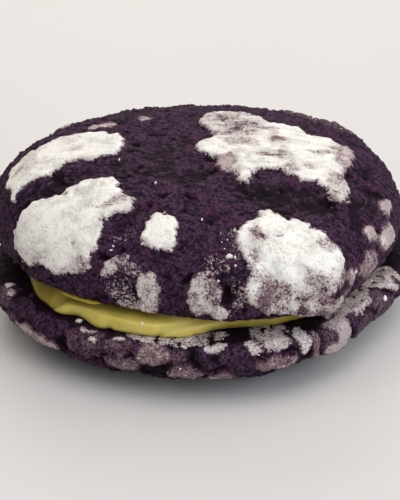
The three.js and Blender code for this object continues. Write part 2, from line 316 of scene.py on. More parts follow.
@dataclass(frozen=True)
class Knob:
    """A knob of the lower crust, or a patch of sugar beside one.

    It has its bearing seen from above, its drop below the edge, its half sizes and how far it is rubbed bare.
    """

    bearing: float
    drop: float
    half_width: float
    half_height: float
    dusting: Dusting
    rubbing: float = 0.0

    def depth(self, bearing: Numbers, radius: Numbers, drop: Numbers) -> Numbers:
        """Measures how far points of the crust lie inside the knob.

        Args:
            bearing: Bearings of the points, in radians.
            radius: Their distances from the axis.
            drop: Their distances below the edge along the crust, less than zero on the flat face.

        Returns:
            About the distance to the knob's edge, less than zero outside.
        """
        away = bearing - math.radians(self.bearing)
        turn = np.arctan2(np.sin(away), np.cos(away))
        return depth_in_ellipse(turn * radius, drop - self.drop, self.half_width, self.half_height)


@dataclass(frozen=True)
class Trace:
    """The outline of a cookie's half section: the crust from top to rim, then the flat face to the axis."""

    travel: Numbers
    radius: Numbers
    height: Numbers
    outward: Numbers
    upward: Numbers

    def at(self, travel: Numbers) -> "Trace":
        """Gives the outline at chosen travels.

        Args:
            travel: Distances from the top along the outline.

        Returns:
            The outline's points there.
        """
        columns = (self.radius, self.height, self.outward, self.upward)
        return Trace(travel, *(np.interp(travel, self.travel, column) for column in columns))


@dataclass(frozen=True)
class Section:
    """Sizes of a cookie's half section."""

    radius: float
    height: float
    across_power: float = 2.8
    upright_power: float = 2.7
    edge_roll: float = 1.8
    dome_steps: int = 160
    roll_steps: int = 20

    def trace(self) -> Trace:
        """Traces the section.

        Returns:
            Its points, with the travel along them and their outward direction.
        """
        dome_turn = np.linspace(0.0, math.pi / 2.0, self.dome_steps + 1)
        roll_turn = np.linspace(0.0, math.pi / 2.0, self.roll_steps + 1)[1:]
        dome_rise = self.height - self.edge_roll
        dome_radius = self.radius * np.sin(dome_turn) ** (2.0 / self.across_power)
        dome_height = self.edge_roll + dome_rise * np.abs(np.cos(dome_turn)) ** (2.0 / self.upright_power)
        roll_radius = self.radius - self.edge_roll * (1.0 - np.cos(roll_turn))
        roll_height = self.edge_roll * (1.0 - np.sin(roll_turn))
        radius = np.concatenate([dome_radius, roll_radius, [0.0]])
        height = np.concatenate([dome_height, roll_height, [0.0]])
        across = np.gradient(radius)
        rise = np.gradient(height)
        chord = np.hypot(across, rise)
        steps = np.hypot(np.diff(radius), np.diff(height))
        travel = np.concatenate([[0.0], np.cumsum(steps)])
        outward = -rise / chord
        upward = across / chord
        outward[-2:] = 0.0
        upward[-2:] = -1.0
        return Trace(travel, radius, height, outward, upward)

    def rim_travel(self) -> float:
        """Gives the travel from the top to the rim of the flat face."""
        return float(self.trace().travel[-2])


class RingSkin:
    """A closed skin of triangles over rings of points, from the point on top to the point underneath."""

    def __init__(self, counts: list[int]) -> None:
        """Lays out the rings and joins each to the next.

        Args:
            counts: The number of points in each ring, from top to bottom.
        """
        starts = np.concatenate([[0], np.cumsum(counts)])
        self.ring = np.repeat(np.arange(len(counts)), counts)
        self.angle = np.concatenate([self._angles(index, count) for index, count in enumerate(counts)])
        bands = [self._band(starts, counts, index) for index in range(len(counts) - 1)]
        self.faces = np.concatenate(bands)

    @staticmethod
    def _angles(index: int, count: int) -> Numbers:
        """Gives a ring's angles, turned half a step on every other ring."""
        return FULL_TURN * (np.arange(count) + 0.5 * (index % 2)) / count

    def _band(self, starts: Numbers, counts: list[int], index: int) -> Numbers:
        """Joins one ring to the next.

        Args:
            starts: The first point of each ring.
            counts: The number of points in each ring.
            index: The upper ring of the two.

        Returns:
            Rows of three points, one for each triangle.
        """
        above, below = counts[index], counts[index + 1]
        next_above = self._angles(index, above) + FULL_TURN / above if above > 1 else np.empty(0)
        next_below = self._angles(index + 1, below) + FULL_TURN / below if below > 1 else np.empty(0)
        steps_below = np.concatenate([np.zeros(len(next_above), bool), np.ones(len(next_below), bool)])
        order = np.lexsort((~steps_below, np.concatenate([next_above, next_below])))
        steps_below = steps_below[order]
        i = np.cumsum(~steps_below) - ~steps_below
        j = np.cumsum(steps_below) - steps_below
        third = np.where(steps_below, starts[index + 1] + (j + 1) % below, starts[index] + (i + 1) % above)
        return np.stack([starts[index] + i % above, starts[index + 1] + j % below, third], axis=1)


@dataclass(frozen=True)
class Surface:
    """A finished skin in the model's frame, for laying crumbs on."""

    points: Numbers
    peeled: Numbers
    sugar: Numbers
    faces: Numbers

    def nearest(self, x: float, y: float) -> Numbers:
        """Gives the point of the skin next to a place on the peeled skin."""
        return self.points[np.argmin(np.hypot(*(self.peeled - (x, y)).T))]

    def spots(self, places: tuple[CrumbPlace, ...]) -> list[Spot]:
        """Finds where crumbs of chosen places lie.

        Args:
            places: Places on the peeled skin, each with a crumb's half size.

        Returns:
            The point of the skin next to each place, and the crumb's half size.
        """
        return [(self.nearest(x, y), size) for x, y, size in places]


def make_piece(
    name: str,
    points: Numbers,
    faces: Numbers,
    material: bpy.types.Material,
    layers: dict[str, Numbers] | None = None,
    corner_map: Numbers | None = None,
) -> bpy.types.Object:
    """Makes a smooth mesh object.

    Args:
        name: The piece's name.
        points: Rows of x, y and z in millimetres.
        faces: Rows of three points.
        material: The finish.
        layers: Named numbers for each point, for the finish to read.
        corner_map: Flat map places for the corners of each face.

    Returns:
        The object, linked to the scene.
    """
    mesh = bpy.data.meshes.new(name)
    mesh.from_pydata((points * METRES).tolist(), [], faces.tolist())
    for layer, values in (layers or {}).items():
        mesh.attributes.new(layer, "FLOAT", "POINT").data.foreach_set("value", values.astype(np.float32))
    if corner_map is not None:
        mesh.uv_layers.new(name=BAKE_MAP).data.foreach_set("uv", corner_map.astype(np.float32).ravel())
    mesh.shade_smooth()
    mesh.materials.append(material)
    piece = bpy.data.objects.new(name, mesh)
    bpy.context.scene.collection.objects.link(piece)
    return piece


class NodeBoard:
    """A material's nodes, with short ways to add and join them."""

    MIX_INPUTS = (0, 6, 7)
    MIX_OUTPUT = 2

    def __init__(self, name: str) -> None:
        """Makes a material with one shader.

        Args:
            name: The material's name.
        """
        self.material = bpy.data.materials.new(name)
        self.material.use_nodes = True
        self.tree = self.material.node_tree
        self.tree.nodes.clear()
        self.shader = self.tree.nodes.new("ShaderNodeBsdfPrincipled")
        output = self.tree.nodes.new("ShaderNodeOutputMaterial")
        self.tree.links.new(self.shader.outputs["BSDF"], output.inputs["Surface"])
        self.places = self.tree.nodes.new("ShaderNodeTexCoord").outputs["Object"]

    def feed(self, socket: Socket, value: object) -> None:
        """Sets a socket to a value, or joins it where the value is another node's output.

        Args:
            socket: The input to fill.
            value: A number, a colour, three numbers or an output.
        """
        if isinstance(value, Socket):
            self.tree.links.new(value, socket)
        elif isinstance(value, tuple):
            socket.default_value = (*value, 1.0)[: len(socket.default_value)]
        else:
            socket.default_value = value

    def layer(self, name: str) -> Socket:
        """Reads a layer of the mesh.

        Args:
            name: The layer's name.

        Returns:
            The layer's number at each point.
        """
        node = self.tree.nodes.new("ShaderNodeAttribute")
        node.attribute_name = name
        return node.outputs["Fac"]

    def noise(self, size: float, detail: float) -> Socket:
        """Adds soft noise.

        Args:
            size: The width of its swells, in millimetres.
            detail: How many finer layers it has.

        Returns:
            The noise, from 0 to 1.
        """
        node = self.tree.nodes.new("ShaderNodeTexNoise")
        node.inputs["Scale"].default_value = 1.0 / (size * METRES)
        node.inputs["Detail"].default_value = detail
        self.tree.links.new(self.places, node.inputs["Vector"])
        return node.outputs["Fac"]

    def math(self, operation: str, *values: object) -> Socket:
        """Joins numbers by one operation.

        Args:
            operation: Blender's name of the operation.
            values: Its inputs in order.

        Returns:
            The result.
        """
        node = self.tree.nodes.new("ShaderNodeMath")
        node.operation = operation
        for socket, value in zip(node.inputs, values):
            self.feed(socket, value)
        return node.outputs["Value"]

    def stretch(self, value: Socket, span: Span, top: float = 1.0) -> Socket:
        """Spreads a range smoothly over 0 to top.

        Args:
            value: The number to spread.
            span: What becomes 0, and what becomes top.
            top: The highest result.

        Returns:
            The spread number.
        """
        node = self.tree.nodes.new("ShaderNodeMapRange")
        node.interpolation_type = "SMOOTHSTEP"
        node.inputs["From Min"].default_value, node.inputs["From Max"].default_value = span
        node.inputs["To Max"].default_value = top
        self.tree.links.new(value, node.inputs["Value"])
        return node.outputs["Result"]

    def mix(self, share: Socket, first: object, second: object) -> Socket:
        """Mixes two colours.

        Args:
            share: How much of the second colour shows.
            first: The colour at share 0.
            second: The colour at share 1.

        Returns:
            The mixed colour.
        """
        node = self.tree.nodes.new("ShaderNodeMix")
        node.data_type = "RGBA"
        for index, value in zip(self.MIX_INPUTS, (share, first, second)):
            self.feed(node.inputs[index], value)
        return node.outputs[self.MIX_OUTPUT]

    def bump(self, height: Socket, depth: float) -> None:
        """Gives the shader a fine bump.

        Args:
            height: The bump's height, from 0 to 1.
            depth: Its depth in millimetres.
        """
        node = self.tree.nodes.new("ShaderNodeBump")
        node.inputs["Distance"].default_value = depth * METRES
        self.tree.links.new(height, node.inputs["Height"])
        self.tree.links.new(node.outputs["Normal"], self.shader.inputs["Normal"])

    def set(self, **values: object) -> None:
        """Fills the shader's inputs, named with underscores for spaces."""
        for name, value in values.items():
            self.feed(self.shader.inputs[name.replace("_", " ").title().replace("Ior", "IOR")], value)


@dataclass(frozen=True)
class CrustFinish:
    """Purple baked dough under icing sugar, from a full white coat down to a stippled film and a bloom."""

    name: str = "dusted_purple_crust"
    # The pit colour is painted shade, laid in the crumb's pits and in cracks and hollows.
    painted_pit_shade: Colour = (0.008, 0.0026, 0.007)
    dark_dough: Colour = (0.013, 0.0044, 0.0115)
    dough: Colour = (0.058, 0.0255, 0.056)
    berry: Colour = (0.074, 0.019, 0.046)
    speck: Colour = (0.15, 0.105, 0.15)
    bloom: Colour = (0.195, 0.118, 0.128)
    veil: Colour = (0.64, 0.545, 0.52)
    film: Colour = (0.375, 0.295, 0.285)
    sugar: Colour = (0.90, 0.855, 0.785)
    dull_sugar: Colour = (0.52, 0.49, 0.44)
    thin_sugar: Colour = (0.615, 0.57, 0.53)
    stipple_size: float = 0.36
    grain_size: float = 0.65
    mottle_size: float = 1.4
    cloud_size: float = 4.5
    blotch_size: float = 2.6
    stipple_share: float = 0.6
    stipple_strength: float = 2.4
    blotch_share: float = 0.5
    speck_share: float = 0.62
    cloud_share: float = 0.4
    dusty_span: Span = (0.02, 0.22)
    film_span: Span = (0.14, 0.42)
    coat_span: Span = (0.40, 0.70)
    thin_span: Span = (0.95, 0.50)
    bloom_span: Span = (0.1, 0.75)
    veil_span: Span = (0.65, 1.25)
    grain_span: Span = (0.38, 0.64)
    blotch_span: Span = (0.48, 0.72)
    speck_span: Span = (0.58, 0.74)
    pit_span: Span = (0.45, 0.05)
    dull_span: Span = (0.42, 0.66)
    dough_roughness: float = 0.62
    sugar_roughness: float = 0.95
    gloss: float = 0.07
    bump_depth: float = 0.14

    def material(self) -> bpy.types.Material:
        """Builds the finish.

        Returns:
            The material, which reads the mesh's sugar and bloom layers, and its layer of painted shade for pits
            and cracks.
        """
        board = NodeBoard(self.name)
        stipple = board.noise(self.stipple_size, detail=2.0)
        mottle = board.noise(self.mottle_size, detail=3.0)
        mottle_part = board.math("MULTIPLY", mottle, 1.0 - self.stipple_share)
        speckled = board.math("MULTIPLY_ADD", stipple, self.stipple_share, mottle_part)
        uneven = board.math("MULTIPLY_ADD", speckled, self.stipple_strength, -0.5 * self.stipple_strength)
        spread = self._spread(board, SUGAR_LAYER, uneven)
        film = board.stretch(spread, self.film_span)
        coat = board.stretch(spread, self.coat_span)
        soft_spread = self._spread(board, BLOOM_LAYER, uneven)
        skin = board.mix(board.stretch(soft_spread, self.bloom_span), self._crumb(board, stipple), self.bloom)
        skin = board.mix(board.stretch(soft_spread, self.veil_span), skin, self.veil)
        dusty = board.mix(film, skin, self.film)
        roughness_range = self.sugar_roughness - self.dough_roughness
        board.set(
            base_color=board.mix(coat, dusty, self._white(board, speckled)),
            roughness=board.math("MULTIPLY_ADD", coat, roughness_range, self.dough_roughness),
            specular_ior_level=self.gloss,
        )
        board.bump(speckled, self.bump_depth)
        return board.material

    def _spread(self, board: NodeBoard, layer: str, uneven: Socket) -> Socket:
        """Makes a layer uneven where it lies, and leaves bare dough clean.

        Args:
            board: The material's nodes.
            layer: The name of the mesh's layer.
            uneven: Fine noise about 0.

        Returns:
            The layer's share with the noise.
        """
        share = board.layer(layer)
        return board.math("MULTIPLY_ADD", uneven, board.stretch(share, self.dusty_span), share)

    def _crumb(self, board: NodeBoard, stipple: Socket) -> Socket:
        """Colours bare dough: painted shade in pits and cracks, purple grains, berry blotches and a few pale
        specks.

        Args:
            board: The material's nodes.
            stipple: The finest noise.

        Returns:
            The colour.
        """
        grain = board.noise(self.grain_size, detail=3.0)
        blotch = board.noise(self.blotch_size, detail=2.0)
        crumb = board.mix(board.stretch(grain, self.grain_span), self.dark_dough, self.dough)
        crumb = board.mix(board.stretch(blotch, self.blotch_span, self.blotch_share), crumb, self.berry)
        crumb = board.mix(board.stretch(stipple, self.speck_span, self.speck_share), crumb, self.speck)
        # Painted shade: pits and cracks take the darker pit colour.
        return board.mix(board.stretch(board.layer(PIT_SHADE_LAYER), self.pit_span), crumb, self.painted_pit_shade)

    def _white(self, board: NodeBoard, speckled: Socket) -> Socket:
        """Colours a coat of sugar, dull in soft clouds and fine speckles, and greyer where it lies thin.

        Args:
            board: The material's nodes.
            speckled: The fine noise.

        Returns:
            The colour.
        """
        cloud = board.noise(self.cloud_size, detail=3.0)
        speckled_part = board.math("MULTIPLY", speckled, 1.0 - self.cloud_share)
        clouded = board.math("MULTIPLY_ADD", cloud, self.cloud_share, speckled_part)
        white = board.mix(board.stretch(clouded, self.dull_span), self.sugar, self.dull_sugar)
        thin = board.stretch(board.layer(SUGAR_LAYER), self.thin_span)
        return board.mix(thin, white, self.thin_sugar)


@dataclass(frozen=True)
class CreamFinish:
    """Smooth pale yellow butter cream with a soft sheen, and painted shade: deeper and duller under the crusts.
    """

    name: str = "yellow_butter_cream"
    light: Colour = (0.64, 0.515, 0.112)
    deep: Colour = (0.54, 0.425, 0.072)
    # Painted shade colour below: laid where shade falls on the cream under the crusts, where the sheen is
    # dulled too.
    painted_shade: Colour = (0.26, 0.185, 0.02)
    swirl_size: float = 6.0
    grain_size: float = 0.7
    roughness: float = 0.40
    gloss: float = 0.7
    painted_shade_dulling: float = 0.8
    scatter_share: float = 0.75
    scatter_reach: float = 2.2
    scatter_tint: Colour = (1.0, 0.55, 0.12)
    swirl_span: Span = (0.35, 0.7)
    bump_depth: float = 0.05

    def material(self) -> bpy.types.Material:
        """Builds the finish.

        Returns:
            The material, which reads the mesh's layer of painted shade.
        """
        board = NodeBoard(self.name)
        swirl = board.noise(self.swirl_size, detail=3.0)
        grain = board.noise(self.grain_size, detail=2.0)
        cream = board.mix(board.stretch(swirl, self.swirl_span), self.light, self.deep)
        # Painted shade: the cream is darker and less glossy where shade falls under the crusts.
        cream_shade = board.layer(CREAM_SHADE_LAYER)
        gloss_change = -self.gloss * self.painted_shade_dulling
        board.set(
            base_color=board.mix(cream_shade, cream, self.painted_shade),
            roughness=self.roughness,
            specular_ior_level=board.math("MULTIPLY_ADD", cream_shade, gloss_change, self.gloss),
            subsurface_weight=self.scatter_share,
            subsurface_scale=self.scatter_reach * METRES,
            subsurface_radius=self.scatter_tint,
        )
        board.bump(grain, self.bump_depth)
        return board.material


@dataclass(frozen=True)
class CrumbFinish:
    """A loose crumb's colour, a little uneven from one crumb to the next."""

    name: str
    light: Colour
    dark: Colour
    mottle_size: float = 1.1
    mottle_span: Span = (0.35, 0.7)
    roughness: float = 0.92

    def material(self) -> bpy.types.Material:
        """Builds the finish.

        Returns:
            The material.
        """
        board = NodeBoard(self.name)
        mottle = board.stretch(board.noise(self.mottle_size, detail=2.0), self.mottle_span)
        board.set(base_color=board.mix(mottle, self.light, self.dark), roughness=self.roughness)
        return board.material


@dataclass(frozen=True)
class FloorFinish:
    """A pale matt table top."""

    name: str = "pale_table"
    light: Colour = (0.69, 0.655, 0.63)
    dark: Colour = (0.66, 0.625, 0.60)
    cloud_size: float = 90.0
    roughness: float = 0.6

    def material(self) -> bpy.types.Material:
        """Builds the finish.

        Returns:
            The material.
        """
        board = NodeBoard(self.name)
        cloud = board.noise(self.cloud_size, detail=2.0)
        board.set(base_color=board.mix(cloud, self.light, self.dark), roughness=self.roughness)
        return board.material


@dataclass(frozen=True)
class CrumbRelief:
    """The broken face of baked dough: swells, rounded lumps with creases between them, grit and open pits."""

    swell_size: float = 3.4
    swell_depth: float = 0.34
    lump_size: float = 1.9
    lump_depth: float = 0.6
    grit_size: float = 0.8
    grit_depth: float = 0.5
    pit_size: float = 2.2
    pit_depth: float = 0.7
    pit_span: Span = (0.3, 0.7)
    level: float = 0.28

    def at(self, grain: Grain, points: Numbers) -> Numbers:
        """Works out the relief.

        Args:
            grain: The noise to use.
            points: Rows of x, y and z.

        Returns:
            The height over the plain crust at each point, in millimetres.
        """
        swells = self.swell_depth * grain.layered(points, self.swell_size, layers=2)
        lumps = self.lump_depth * grain.lumps(points, self.lump_size)
        grit = self.grit_depth * grain.lumps(points, self.grit_size)
        pits = self.pit_depth * ease(grain.at(points + self.pit_size / 2.0, self.pit_size), *self.pit_span)
        return swells + lumps + grit - pits - self.level


@dataclass(frozen=True)
class Relief:
    """What a crust carries at each of its points, with the shares from 0 to 1."""

    SUGAR_CALM: ClassVar[float] = 0.8
    BLOOM_CALM: ClassVar[float] = 0.5

    forms: Numbers
    sugar: Numbers
    bloom: Numbers
    # How deep in a crack or hollow a point lies; the crust is painted darker there as painted shade.
    crack: Numbers

    def calm(self) -> Numbers:
        """Gives how much of the crumb shows through sugar and bloom."""
        under_sugar = 1.0 - self.SUGAR_CALM * np.clip(self.sugar, 0.0, 1.0)
        return under_sugar * (1.0 - self.BLOOM_CALM * np.clip(self.bloom, 0.0, 1.0))


@dataclass
class Cookie:
    """A baked half of the sandwich. In its own frame its dome is up and its flat face is at height 0."""

    piece_name: str
    node: str
    slot: str
    section: Section
    waves: tuple[Wave, ...]
    bulges: tuple[Bulge, ...]
    place: Place
    grain_seed: int
    bulge_from: float = 0.8
    crust_step: float = 0.28
    face_step: float = 0.4
    ledge_width: float = 9.0
    face_step_growth: float = 1.35
    edge_fade: float = 3.2
    face_relief: float = 0.3
    edge_relief: float = 0.35
    # These set the painted shade of the crust: darker where the crumb's relief is low and in cracks.
    pit_shade_level: float = 0.5
    pit_shade_depth: float = 0.9
    crack_shade_share: float = 0.45
    bake_margin: float = 0.985
    face_map_size: float = 0.082
    face_map_fill: float = 0.95
    crumb: CrumbRelief = CrumbRelief()

    def travels(self) -> Numbers:
        """Chooses where the rings of points lie.

        Returns:
            Travels from the top, down the crust and in over the flat face, closer where the cookie shows.
        """
        rim = self.section.rim_travel()
        trace = self.section.trace()
        crust = [0.0]
        while crust[-1] < rim - 0.5 * self.crust_step:
            radius = float(np.interp(crust[-1], trace.travel, trace.radius))
            crust.append(crust[-1] + self.step_at(radius))
        crust[-1] = rim
        face = []
        step = self.face_step
        inward = step
        while inward < trace.radius[-2] - step:
            face.append(rim + inward)
            step *= self.face_step_growth if inward > self.ledge_width else 1.0
            inward += step
        return np.array([*crust, *face, trace.travel[-1]])

    def step_at(self, radius: float) -> float:
        """Gives the distance between points of the crust at a distance from the axis."""
        return self.crust_step

    def relief(self, points: Numbers, spots: Trace, angle: Numbers) -> Relief:
        """Works out the crust's large forms, its sugar and its cracks.

        Args:
            points: Rows of x, y and z on the plain crust.
            spots: Where the points lie on the section.
            angle: Their angles round the axis.

        Returns:
            The height of the large forms at each point, its sugar, its bloom and how deep in a crack it lies.
        """
        raise NotImplementedError

    def bearing(self, angle: Numbers) -> Numbers:
        """Gives bearings in degrees, seen from above the sandwich, for angles round the cookie's axis."""
        return np.degrees(angle)

    def reach(self, spots: Trace, angle: Numbers) -> Numbers:
        """Works out how far points lie from the axis, with the outline's waves and the bulges of its edge.

        Args:
            spots: Where the points lie on the section.
            angle: Their angles round the axis.

        Returns:
            The distances.
        """
        near_edge = ease(spots.radius / self.section.radius, self.bulge_from, 1.0)
        bulged = sum(bulge.at(self.bearing(angle)) for bulge in self.bulges)
        return spots.radius * wave_factor(self.waves, angle) + near_edge * bulged

    def settle(self, points: Numbers) -> Numbers:
        """Moves points from the cookie's own frame into the model's."""
        raise NotImplementedError

    def build(self, material: bpy.types.Material) -> Surface:
        """Builds the cookie's mesh and dresses it.

        Args:
            material: The crust's finish.

        Returns:
            The finished skin, for crumbs to lie on.
        """
        trace = self.section.trace()
        rim = self.section.rim_travel()
        rings = trace.at(self.travels())
        steps = np.gradient(rings.travel)
        counts = [max(round(FULL_TURN * radius / step), 1) for radius, step in zip(rings.radius, steps)]
        counts[0] = counts[-1] = 1
        skin = RingSkin(counts)
        spots = trace.at(rings.travel[skin.ring])
        reach = self.reach(spots, skin.angle)
        plain = polar_points(reach, skin.angle, spots.height)
        on_face = spots.travel > rim
        relief = self.relief(plain, spots, skin.angle)
        rough = self.crumb.at(Grain(self.grain_seed), plain)
        fade = ease(np.abs(rim - spots.travel), 0.0, self.edge_fade)
        lift = np.where(on_face, 0.0, relief.forms * fade)
        crust_relief = self.edge_relief + (1.0 - self.edge_relief) * fade
        lift += rough * relief.calm() * np.where(on_face, self.face_relief, crust_relief)
        own = polar_points(reach + lift * spots.outward, skin.angle, spots.height + lift * spots.upward)
        points = self.settle(self.rest(own))
        peeled = polar_points(spots.travel, skin.angle, np.zeros(len(own)))[:, :2]
        # Painted shade: the crust is darker in the crumb's pits and in cracks and hollows.
        pit_shade = np.clip(self.pit_shade_level + rough / self.pit_shade_depth - self.crack_shade_share * relief.crack, 0.0, 1.0)
        layers = {SUGAR_LAYER: relief.sugar, BLOOM_LAYER: relief.bloom, PIT_SHADE_LAYER: pit_shade}
        corner_map = self.corner_map(peeled, own, skin, spots.travel >= rim - TINY)
        piece = make_piece(self.piece_name, points, skin.faces, material, layers, corner_map)
        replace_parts(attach(piece, "root"), self.node)
        return Surface(points, peeled, relief.sugar, skin.faces)

    def rest(self, own: Numbers) -> Numbers:
        """Presses the cookie where it rests on something."""
        return own

    def corner_map(self, peeled: Numbers, own: Numbers, skin: RingSkin, on_face: Numbers) -> Numbers:
        """Lays the skin on a square: the crust as a large disc, the flat face as a small disc in a corner.

        Args:
            peeled: Places on the peeled skin.
            own: Points in the cookie's own frame.
            skin: The rings and their triangles.
            on_face: Which points belong to the flat face, rim included.

        Returns:
            Two numbers for each corner of each triangle.
        """
        crust = 0.5 + 0.5 * self.bake_margin * peeled / self.section.rim_travel()
        face_reach = np.abs(own[on_face, :2]).max()
        flat = self.face_map_size * (1.0 + self.face_map_fill * own[:, :2] / face_reach)
        flat_faces = on_face[skin.faces].all(axis=1)
        return np.where(flat_faces[:, None, None], flat[skin.faces], crust[skin.faces])


